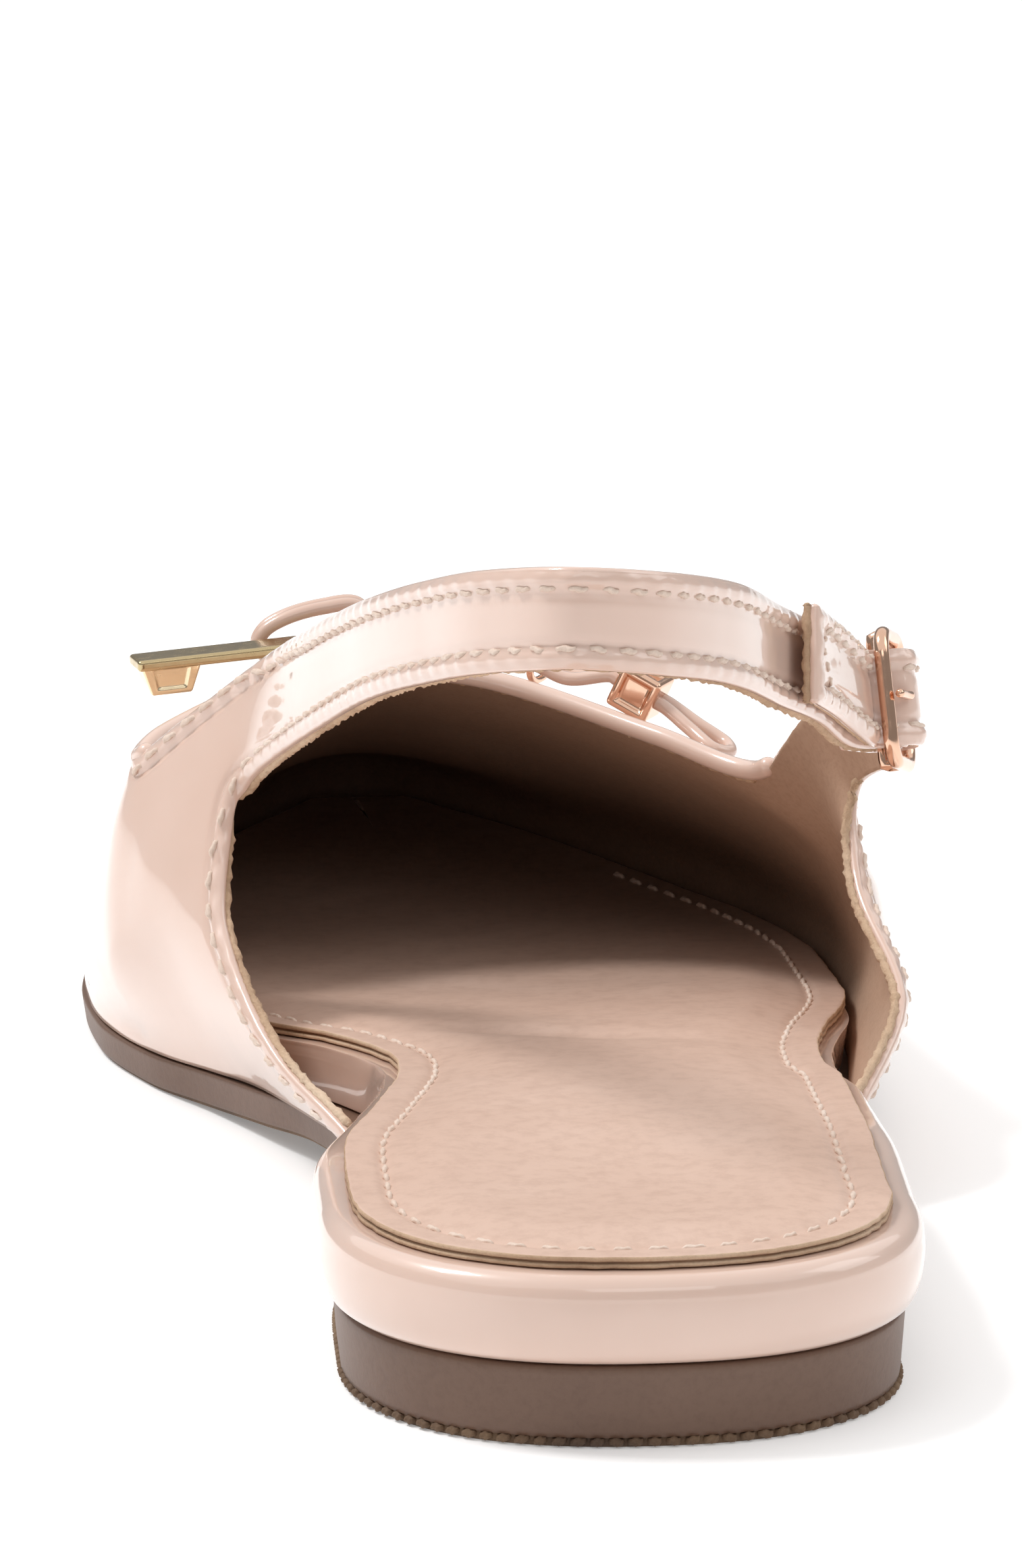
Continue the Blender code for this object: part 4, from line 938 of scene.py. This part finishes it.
# %% Thread
def stitch_row(name, path, pitch, length, radius, lift=0.10 * MM, seed=1, finish=THREAD):
    """Stitches along a path with columns x y z and the surface's normal.

    centre = path + normal * (lift - dip * s^4), radius = r (1 + 0.24 cos(2a - 5.5s)), s from -1 to 1.
    """
    total = run_of(path)[-1]
    n = int(total / pitch)
    middle = (np.arange(n) + 0.5) * total / n
    draw = np.random.default_rng(seed)
    s = np.linspace(-1, 1, 11)
    reach = length * (1 + 0.08 * draw.normal(size=n))
    place = at_length(path, (middle[:, None] + s * reach[:, None] / 2).ravel()).reshape(n, len(s), 6)
    up_way = unit(place[..., 3:])
    run = unit(np.gradient(place[..., :3], axis=1))
    side = np.cross(run, up_way)
    sway = 0.08 * MM * draw.normal(size=(n, 1, 1)) * s[None, :, None]
    centre = place[..., :3] + up_way * (lift - 0.55 * MM * s**4)[:, None] + side * sway
    a = np.linspace(0, 2 * np.pi, 8, endpoint=False)
    twist = 1 + 0.24 * np.cos(2 * a[None] - 5.5 * s[:, None])
    thick = radius * twist * np.sqrt(np.clip(1.02 - s**6, 0.02, 1))[:, None]
    ring = side[:, :, None] * np.cos(a)[:, None] + up_way[:, :, None] * np.sin(a)[:, None]
    grid = centre[:, :, None] + ring * thick[None, :, :, None]
    ends = centre[:, [0, -1]][:, :, None].repeat(8, 2)
    grid = np.concatenate([ends[:, :1], grid, ends[:, 1:]], 1)
    one = grid_faces(grid.shape[1], 8, False, True)
    faces = (one[None] + (np.arange(n) * grid.shape[1] * 8)[:, None, None]).reshape(-1, 4)
    return make(name, grid, faces, finish, merge=0.0005 * MM)


def with_normals(points, numbers):
    """Rows of points and normals for a table of numbers."""
    return np.concatenate([points[numbers], up[numbers]], -1)


def line_inside(table, distance, from_end=False):
    """For each row of a number table, the point that lies a distance in from its first column."""
    rows = with_normals(outer, table[:, ::-1] if from_end else table)
    gaps = np.linalg.norm(np.diff(rows[..., :3], axis=1), axis=-1)
    run = np.concatenate([np.zeros((len(rows), 1)), np.cumsum(gaps, 1)], 1)
    k = np.clip((run < distance).sum(1), 1, run.shape[1] - 1)
    r = np.arange(len(rows))
    t = ((distance - run[r, k - 1]) / np.maximum(run[r, k] - run[r, k - 1], 1e-9))[:, None]
    return rows[r, k - 1] * (1 - t) + rows[r, k] * t


inner_back = line_inside(number[: ACROSS + PER_RIB, :].T, SEAM_IN)
outer_back = line_inside(number[-ACROSS - PER_RIB :, :].T, SEAM_IN, True)
inner_slope = line_inside(number[ACROSS - 1 : LOW_IN + 1, ::-1], SEAM_IN)
outer_slope = line_inside(number[LOW_OUT : -ACROSS + 1, ::-1], SEAM_IN)
heel_low = line_inside(heel_full[:-4], SEAM_IN)
heel_high = line_inside(heel_full[:-4], SEAM_IN, True)
ear_high = line_inside(ear_full[:-6], SEAM_IN)
ear_low = line_inside(ear_full[:-6], SEAM_IN, True)
print("inner back seam %.0f mm" % (run_of(inner_back)[-1] / MM))
THREAD_R, STITCH_LENGTH = 0.33 * MM, 2.5 * MM
seams = [
    ("stitches_inner_back", inner_back[3:-1]), ("stitches_outer_back", outer_back[3:-1]),
    ("stitches_strap_low", heel_low),
    ("stitches_strap_high", np.concatenate([heel_high[::-1], inner_slope[1:]])),
    ("stitches_ear_low", ear_low), ("stitches_ear_high", np.concatenate([outer_slope[:-1], ear_high])),
]
for seed, (name, path) in enumerate(seams, 2):
    stitch_row(name, path, STITCH_PITCH, STITCH_LENGTH, THREAD_R, seed=seed)

# %% Sock stitches
SEAM_END = 0.19  # the sock's seam stops under the vamp
seam_share = 1 - SOCK_SEAM / reach
plan = spine + seam_share[:, None] * (cut - spine)
relief = sock_relief(plan, SOCK_SEAM + 0 * reach)
path = np.column_stack([plan, sock_height(plan[:, 1]) + relief, 0 * plan, 1 + 0 * reach])
keep = path[:, 1] < SEAM_END
path = np.roll(path, -int(np.argmin(keep)), 0)
path = path[path[:, 1] < SEAM_END]
stitch_row("stitches_sock", path, 3.6 * MM, STITCH_LENGTH, 0.30 * MM, 0.16 * MM, 9)

# %% Tread lugs round the heel, laid out as a row of short thick stitches
rim_line = outline(lambda side, y: 0.75 * MM + 0 * y)
rim_line = rim_line[np.r_[len(rim_line) // 2 : len(rim_line), 0 : len(rim_line) // 2]]
rim_line = rim_line[rim_line[:, 1] < 34 * MM]
rim_way = unit(np.gradient(rim_line, axis=0))
flat = 0 * rim_line[:, 0]
lug_path = np.column_stack([rim_line, 0.62 * MM + flat, rim_way[:, 1], -rim_way[:, 0], flat])
if lug_path[len(lug_path) // 2, 4] > 0:
    lug_path[:, 3:5] *= -1
stitch_row("sole_tread_lugs", lug_path, 1.9 * MM, 1.7 * MM, 0.42 * MM, 0.1 * MM, 10, TREAD)

# %% [markdown]
# ## Rolled piping and raw lining edges
# Round the throat the leather is rolled over a cord. Inside every cut edge the lining ends in a
# thin fuzzy line, made as a tube whose radius is rough.

# %% Piping
rim_top = ribs[LOW_IN - 1 : LOW_OUT + 2, -1]
rim_up = unit(rim_top - ribs[LOW_IN - 1 : LOW_OUT + 2, -4])
rim_out = unit(np.cross(rim_up, np.gradient(rim_top, axis=0)))
cord = rim_top + rim_up * (PIPING_RADIUS - 0.35 * MM) - rim_out * UPPER_WALL / 2
tube("throat_piping", cord, PIPING_RADIUS, 20, rim_up[len(rim_up) // 2], PATENT, "topline_piping")


def raw_line(name, numbers, radius, seed):
    """A fuzzy line of lining along an edge, just inside it."""
    line = sheet[numbers] - up[numbers] * (UPPER_WALL - 0.30 * MM)
    line = at_length(line, np.arange(0, run_of(line)[-1], 0.55 * MM))
    grid = tube_grid(line, radius, 7, np.array([0.03, 0.05, 1.0]))
    draw = np.random.default_rng(seed)
    centre = grid.mean(1, keepdims=True)
    grid = centre + (grid - centre) * draw.uniform(0.65, 1.5, grid.shape[:2])[..., None]
    faces = grid_faces(grid.shape[0], 7, False, True)
    return make(name, grid, faces, RAW_EDGE)


raw_line("raw_edge_throat", throat_edge, 0.50 * MM, 21)
raw_line("raw_edge_inner", inner_edge[2 : HIGH + len(heel_number) - 120], 0.46 * MM, 22)
raw_line("raw_edge_outer", outer_edge[-HIGH:-2], 0.48 * MM, 23)
raw_line("raw_edge_tab", ear_number[-1], 0.45 * MM, 24)

# %% Box stitching on the free end
TAB_ROWS = 34


def band_point(share_along, share_across):
    """A point and normal on the free end, along it from the buckle to the cut and across it."""
    rows = ear_number[-TAB_ROWS:]
    i = np.clip(np.asarray(share_along) * (TAB_ROWS - 1), 0, TAB_ROWS - 1.001)
    j = np.interp(share_across, np.linspace(0, 1, ACROSS), np.arange(ACROSS))
    a, b = i.astype(int), np.clip(j.astype(int), 0, ACROSS - 2)
    s, t = (i - a)[:, None], (j - b)[:, None]
    grid = with_normals(outer, rows)
    low = grid[a, b] * (1 - t) + grid[a, b + 1] * t
    high = grid[a + 1, b] * (1 - t) + grid[a + 1, b + 1] * t
    return low * (1 - s) + high * s


box = np.array([[0.05, 0.26], [0.72, 0.26], [0.90, 0.5], [0.72, 0.76], [0.05, 0.76]])
box = np.column_stack([box, 0 * box[:, :1]])
corners = at_length(box, np.linspace(0, run_of(box)[-1], 90))
stitch_row("stitches_tab", band_point(corners[:, 0], corners[:, 1]), 2.0 * MM, 1.4 * MM, 0.20 * MM, seed=8)

# %% [markdown]
# ## The buckle
# A wire frame with rounded corners and its middle bar, as tubes along paths in the buckle's own
# plane. Of the prong only the outer end is made: it lies on the strap and doesn't reach the bar.

# %% Buckle
def rounded_frame(length, width, radius, count):
    """A rounded rectangle: each corner is a quarter circle about its own centre."""
    a = np.radians(np.concatenate([np.linspace(0, 90, count) + 90 * turn for turn in range(4)]))
    sx = np.repeat([1, -1, -1, 1], count)
    sy = np.repeat([1, 1, -1, -1], count)
    x = sx * (length / 2 - radius) + radius * np.cos(a)
    y = sy * (width / 2 - radius) + radius * np.sin(a)
    flat = np.column_stack([x, y, 0 * x])
    closed = np.vstack([flat, flat[:1]])
    return at_length(closed, np.linspace(0, run_of(closed)[-1], 97))[:-1]


def in_buckle(flat):
    """Points from places along the strap, across it and out."""
    return BUCKLE_PLACE + flat[:, :1] * BUCKLE_RUN + flat[:, 1:2] * BUCKLE_ACROSS + flat[:, 2:3] * BUCKLE_OUT


frame_path = rounded_frame(BUCKLE_LENGTH - BUCKLE_WIRE, BUCKLE_WIDTH - BUCKLE_WIRE, 2.6 * MM, 12)
tube(
    "buckle_wire", in_buckle(frame_path), BUCKLE_WIRE / 2, 20, BUCKLE_OUT, ROSE_GOLD,
    "buckle_frame", True)
reach_bar = (BUCKLE_WIDTH - BUCKLE_WIRE) / 2
bar = np.array([[0, -reach_bar, 0], [0, -reach_bar, BAR_DEPTH], [0, reach_bar, BAR_DEPTH], [0, reach_bar, 0]])
bar = at_length(bar, np.linspace(0, run_of(bar)[-1], 40))
tube("buckle_bar", in_buckle(bar), BAR_RADIUS, 14, BUCKLE_RUN, ROSE_GOLD)
lift = BAR_DEPTH + EAR_STRAP_REACH + FIT_GAP + PRONG_RADIUS
tip = BUCKLE_WIRE / 2 + FIT_GAP + PRONG_RADIUS
prong = np.array([
    [-0.22 * BUCKLE_LENGTH, 0, lift - 0.72 * (lift - tip)],
    [-0.32 * BUCKLE_LENGTH, 0, lift - 0.86 * (lift - tip)], [-0.50 * BUCKLE_LENGTH, 0, tip],
])
tube(
    "buckle_pin", in_buckle(smooth(prong, 8)), PRONG_RADIUS, 14, BUCKLE_ACROSS, ROSE_GOLD,
    "buckle_prong")

# %% [markdown]
# ## The bow
# Patent cords come out of a wrapped knot. On the outer side they pass a wire ring and a framed
# square bead, and on the inner side a long plate with a tapered tip hangs over the edge.

# %% Bow places
SCALE = np.array([BALL_WIDTH, SHOE_LENGTH, THROAT_HEIGHT])
CORD_RADIUS, CORD_LEAD, BEAD_SIZE = 0.8 * MM, 1.6 * MM, 5.3 * MM
KNOT = np.array([-0.064, 0.563, 1.044]) * SCALE
INNER_LOOP = np.array([
    [-0.146, 0.5625, 1.138], [-0.194, 0.5610, 1.136], [-0.244, 0.5595, 1.112], [-0.272, 0.5590, 1.080],
    [-0.281, 0.5590, 1.042], [-0.262, 0.5595, 1.004], [-0.210, 0.5610, 0.986], [-0.152, 0.5625, 1.004],
]) * SCALE
STRAND = np.array([[0.046, 0.548, 1.010], [0.092, 0.537, 1.000], [0.128, 0.530, 0.973]]) * SCALE
BEAD = np.array([0.218, 0.519, 0.948]) * SCALE
OUTER_END = np.array([[0.284, 0.504, 0.868], [0.315, 0.494, 0.828]]) * SCALE
PLATE_START = np.array([-0.452, 0.5310, 1.033]) * SCALE
KNOT_RADIUS, KNOT_WIDTH, RING_WIRE = 3.6 * MM, 8.0 * MM, 0.45 * MM


def square_axes(run):
    """Three axes square to each other, the first along run, the last nearest to up."""
    run = unit(np.array(run, float))
    high = unit(np.array([0, 0, 1.0]) - run * run[2])
    return np.array([run, np.cross(high, run), high])


knot_axes = square_axes((1.0, -0.05, 0.0))
bead_axes = square_axes((0.78, -0.40, -0.42))
plate_axes = square_axes((0.985, 0.15, 0.06))
BESIDE = CORD_RADIUS + FIT_GAP / 2

# %% Cords of the bow
face = KNOT - (KNOT_WIDTH / 2 - 0.6 * MM) * knot_axes[0]
lead = face - CORD_LEAD * knot_axes[0]
high = BESIDE * knot_axes[2]
loop_path = smooth(np.vstack([face + high, lead + high, INNER_LOOP, lead - high, face - high]), 10)
for count_of, side in enumerate((-1, 1)):
    name = "bow_loop_inner_%d" % (count_of + 1)
    shifted = loop_path + side * BESIDE * knot_axes[1]
    tube(name + "_cord", shifted, CORD_RADIUS, 18, np.array([0.0, 1.0, 0.02]), PATENT_CORD, name)

face = KNOT + (KNOT_WIDTH / 2 - 0.6 * MM) * knot_axes[0]
entry = BEAD - (BEAD_SIZE / 2 - 0.5 * MM) * bead_axes[0]
leads = face + CORD_LEAD * knot_axes[0], entry - CORD_LEAD * bead_axes[0]
middle = smooth(np.vstack([face, leads[0], STRAND, leads[1], entry]), 10)
run = unit(np.gradient(middle, axis=0))
sideways = unit(np.cross([0, 0, 1.0], run))
for count_of, side in enumerate((-1, 1)):
    name = "bow_strand_%d" % (count_of + 1)
    shifted = middle + side * BESIDE * sideways
    tube(name + "_cord", shifted, CORD_RADIUS, 18, np.array([0, 0, 1.0]), PATENT_CORD, name)

start = BEAD + (BEAD_SIZE / 2 - 0.5 * MM) * bead_axes[0]
there = np.vstack([start, start + CORD_LEAD * bead_axes[0], OUTER_END])
spread = np.array([1.0, 1.0, 1.5, 2.0])[:, None] * BESIDE * bead_axes[1]
turned = there[-1] + bead_axes[0] * 1.6 * CORD_RADIUS
path = smooth(np.vstack([there - spread, turned, (there + spread)[::-1]]), 10)
tube("bow_outer_loop", path, CORD_RADIUS, 18, np.array([0.05, 0.05, 1.0]), PATENT_CORD, "bow_loop_outer")

# %% Ring
ring_axes = square_axes(STRAND[2] - STRAND[0])
high_half = CORD_RADIUS + 2 * FIT_GAP + RING_WIRE
a = np.linspace(0, 2 * np.pi, 64, endpoint=False)[:, None]
circle = STRAND[1] + (high_half + BESIDE) * np.cos(a) * ring_axes[1] + high_half * np.sin(a) * ring_axes[2]
tube("bow_wire_ring", circle, RING_WIRE, 12, ring_axes[0], ROSE_GOLD, "bow_ring", True)


# %% Rounded blocks
def rounded_block(size, radius, shape=lambda p, way: p, n=27):
    """Six faces of a box, each a grid: point = inner + radius * unit(p - inner), inner = p held in."""
    half = np.asarray(size) / 2
    t = np.sin(np.linspace(-np.pi / 2, np.pi / 2, n))
    u, v = np.meshgrid(t, t, indexing="ij")
    rows, faces = [], []
    for axis in range(3):
        for way in (-1, 1):
            p = np.zeros((n, n, 3))
            p[..., axis], p[..., (axis + 1) % 3], p[..., (axis + 2) % 3] = way, u, v
            p = p * half
            inner = np.clip(p, -(half - radius), half - radius)
            p = inner + radius * unit(p - inner)
            faces.append(grid_faces(n, n) + len(rows) * n * n)
            rows.append(shape(p, (axis, way)))
    return np.concatenate([r.reshape(-1, 3) for r in rows]), np.concatenate(faces)


def bead_shape(p, way):
    """Sinks a bevelled panel into each face that the cords don't pass through."""
    axis, sign = way
    if axis == 0:
        return p
    share = np.abs(np.delete(p, axis, -1)).max(-1) / (BEAD_SIZE / 2)
    p = p.copy()
    p[..., axis] -= sign * 0.62 * MM * (1 - step_between(share, 0.50, 0.72))
    return p


points, faces = rounded_block([BEAD_SIZE] * 3, 0.55 * MM, bead_shape, 41)
BLOCK_MERGE = 0.004 * MM
placed = points @ bead_axes + BEAD
make("bow_square_bead", placed, faces, ROSE_GOLD, "bow_bead", BLOCK_MERGE)

# %% Plate and its tip
PLATE_SIZE = np.array([23.0, 5.0, 1.3]) * MM
TIP_SIZE = np.array([7.4, 4.4, 3.9]) * MM


def tip_shape(p, way):
    """Tapers the tip downwards and sinks a panel into its two long sides."""
    taper = 1 - 0.36 * (0.5 - p[..., 2:] / TIP_SIZE[2])
    p = np.concatenate([p[..., :2] * taper, p[..., 2:]], -1)
    if way[0] == 1:
        a = np.abs(p[..., 0] / taper[..., 0]) / (TIP_SIZE[0] / 2)
        b = np.abs(p[..., 2]) / (TIP_SIZE[2] / 2)
        sunk = 1 - step_between(np.maximum(a, b), 0.55, 0.68)
        p[..., 1] -= way[1] * 0.35 * MM * sunk
    return p


points, faces = rounded_block(PLATE_SIZE, 0.42 * MM)
middle = PLATE_START + plate_axes[0] * PLATE_SIZE[0] / 2
placed = points @ plate_axes + middle
make("bow_gold_plate", placed, faces, DARK_GOLD, "bow_plate", BLOCK_MERGE)
points, faces = rounded_block(TIP_SIZE, 0.35 * MM, tip_shape, 33)
middle = PLATE_START + plate_axes[0] * (TIP_SIZE[0] / 2 + 0.3 * MM) - plate_axes[2] * 1.85 * MM
placed = points @ plate_axes + middle
make("bow_plate_tip", placed, faces, PALE_GOLD, merge=BLOCK_MERGE)

# %% Knot
s = np.linspace(-1, 1, 61)[:, None]
a = np.linspace(0, 2 * np.pi, 56, endpoint=False)[None]
wraps = 0.05 * np.abs(np.sin(2.4 * np.pi * s + 0.6 * np.sin(a))) ** 0.5
radius = KNOT_RADIUS * (1 - 0.45 * np.abs(s) ** 3 + wraps - 0.05)
wide, tall = radius * np.cos(a), 0.72 * radius * np.sin(a)
grid = KNOT + (s * KNOT_WIDTH / 2)[..., None] * knot_axes[0]
grid = grid + wide[..., None] * knot_axes[1] + tall[..., None] * knot_axes[2]
ends = KNOT + np.array([-1, 1])[:, None, None] * KNOT_WIDTH / 2 * knot_axes[0] + 0 * grid[:2]
grid = np.concatenate([ends[:1], grid, ends[1:]])
make("bow_wrapped_knot", grid, grid_faces(len(grid), 56, False, True), PATENT_CORD, "bow_knot")

# %% [markdown]
# ## Floor, light and camera
# A pale floor and large soft lamps, as in a product studio. The key is high on the inner side,
# so the strap's shadow falls across the sock to the outer side of the heel.

# %% Floor
floor_mesh = bpy.data.meshes.new("floor")
floor_mesh.from_pydata([(-6, -6, 0), (6, -6, 0), (6, 6, 0), (-6, 6, 0)], [], [(0, 1, 2, 3)])
floor = bpy.data.objects.new("floor", floor_mesh)
bpy.context.scene.collection.objects.link(floor)
floor_finish, tree, shader = finish_named("studio floor", (0.92, 0.92, 0.92), 0.55)
shader.inputs["Specular IOR Level"].default_value = 0.2
shader.inputs["Emission Color"].default_value = (1, 1, 1, 1)
shader.inputs["Emission Strength"].default_value = 0.22
floor_mesh.materials.append(floor_finish)

# %% Lamps and world
bpy.context.scene.view_settings.view_transform = "Standard"
world = bpy.data.worlds.new("studio")
world.use_nodes = True
world.node_tree.nodes["Background"].inputs["Color"].default_value = (1, 1, 1, 1)
world.node_tree.nodes["Background"].inputs["Strength"].default_value = 0.30
bpy.context.scene.world = world


def lamp(name, place, aim, size, power):
    """An area lamp of a given size that looks at a point."""
    light = bpy.data.lights.new(name, "AREA")
    light.shape = "RECTANGLE"
    light.size, light.size_y = size
    light.energy = power
    holder = bpy.data.objects.new(name, light)
    back = unit(np.array(place, float) - np.array(aim, float))
    side = unit(np.cross([0, 0, 1.0], back))
    turn = np.eye(4)
    turn[:3, 0], turn[:3, 1], turn[:3, 2], turn[:3, 3] = side, np.cross(back, side), back, place
    holder.matrix_world = Matrix(turn.tolist())
    bpy.context.scene.collection.objects.link(holder)
    return holder


lamp("ceiling", (0.0, 1.50, 3.0), (0.001, 1.50, 0.0), (9.0, 9.0), 170.0)
lamp("key", (-0.62, 0.25, 1.05), (0, 0.06, 0.02), (0.30, 0.30), 8.0)
lamp("back_fill", (0.1, -0.9, 0.75), (0, 0.05, 0.03), (0.6, 0.3), 0.9)
lamp("outer_fill", (0.8, 0.1, 0.6), (0, 0.08, 0.03), (0.5, 0.5), 1.2)

# %% Camera
camera_data = bpy.data.cameras.new("camera")
SENSOR, FOCAL_PIXELS, PHOTO_HEIGHT = 36.0, 14800.0, 2380.0
camera_data.sensor_width = SENSOR
camera_data.lens = FOCAL_PIXELS / PHOTO_HEIGHT * SENSOR
camera = bpy.data.objects.new("camera", camera_data)
look = np.array([0.10789018, 0.97191842, -0.20912744])
up_way = np.array([0.02307298, 0.20785073, 0.9778884])
pose = np.eye(4)
pose[:3, 0], pose[:3, 1], pose[:3, 2] = np.cross(look, up_way), up_way, -look
pose[:3, 3] = (-0.11743701, -0.9564477, 0.26723838)
camera.matrix_world = Matrix(pose.tolist())
bpy.context.scene.collection.objects.link(camera)
bpy.context.scene.camera = camera
print("lens %.1f mm" % camera_data.lens)
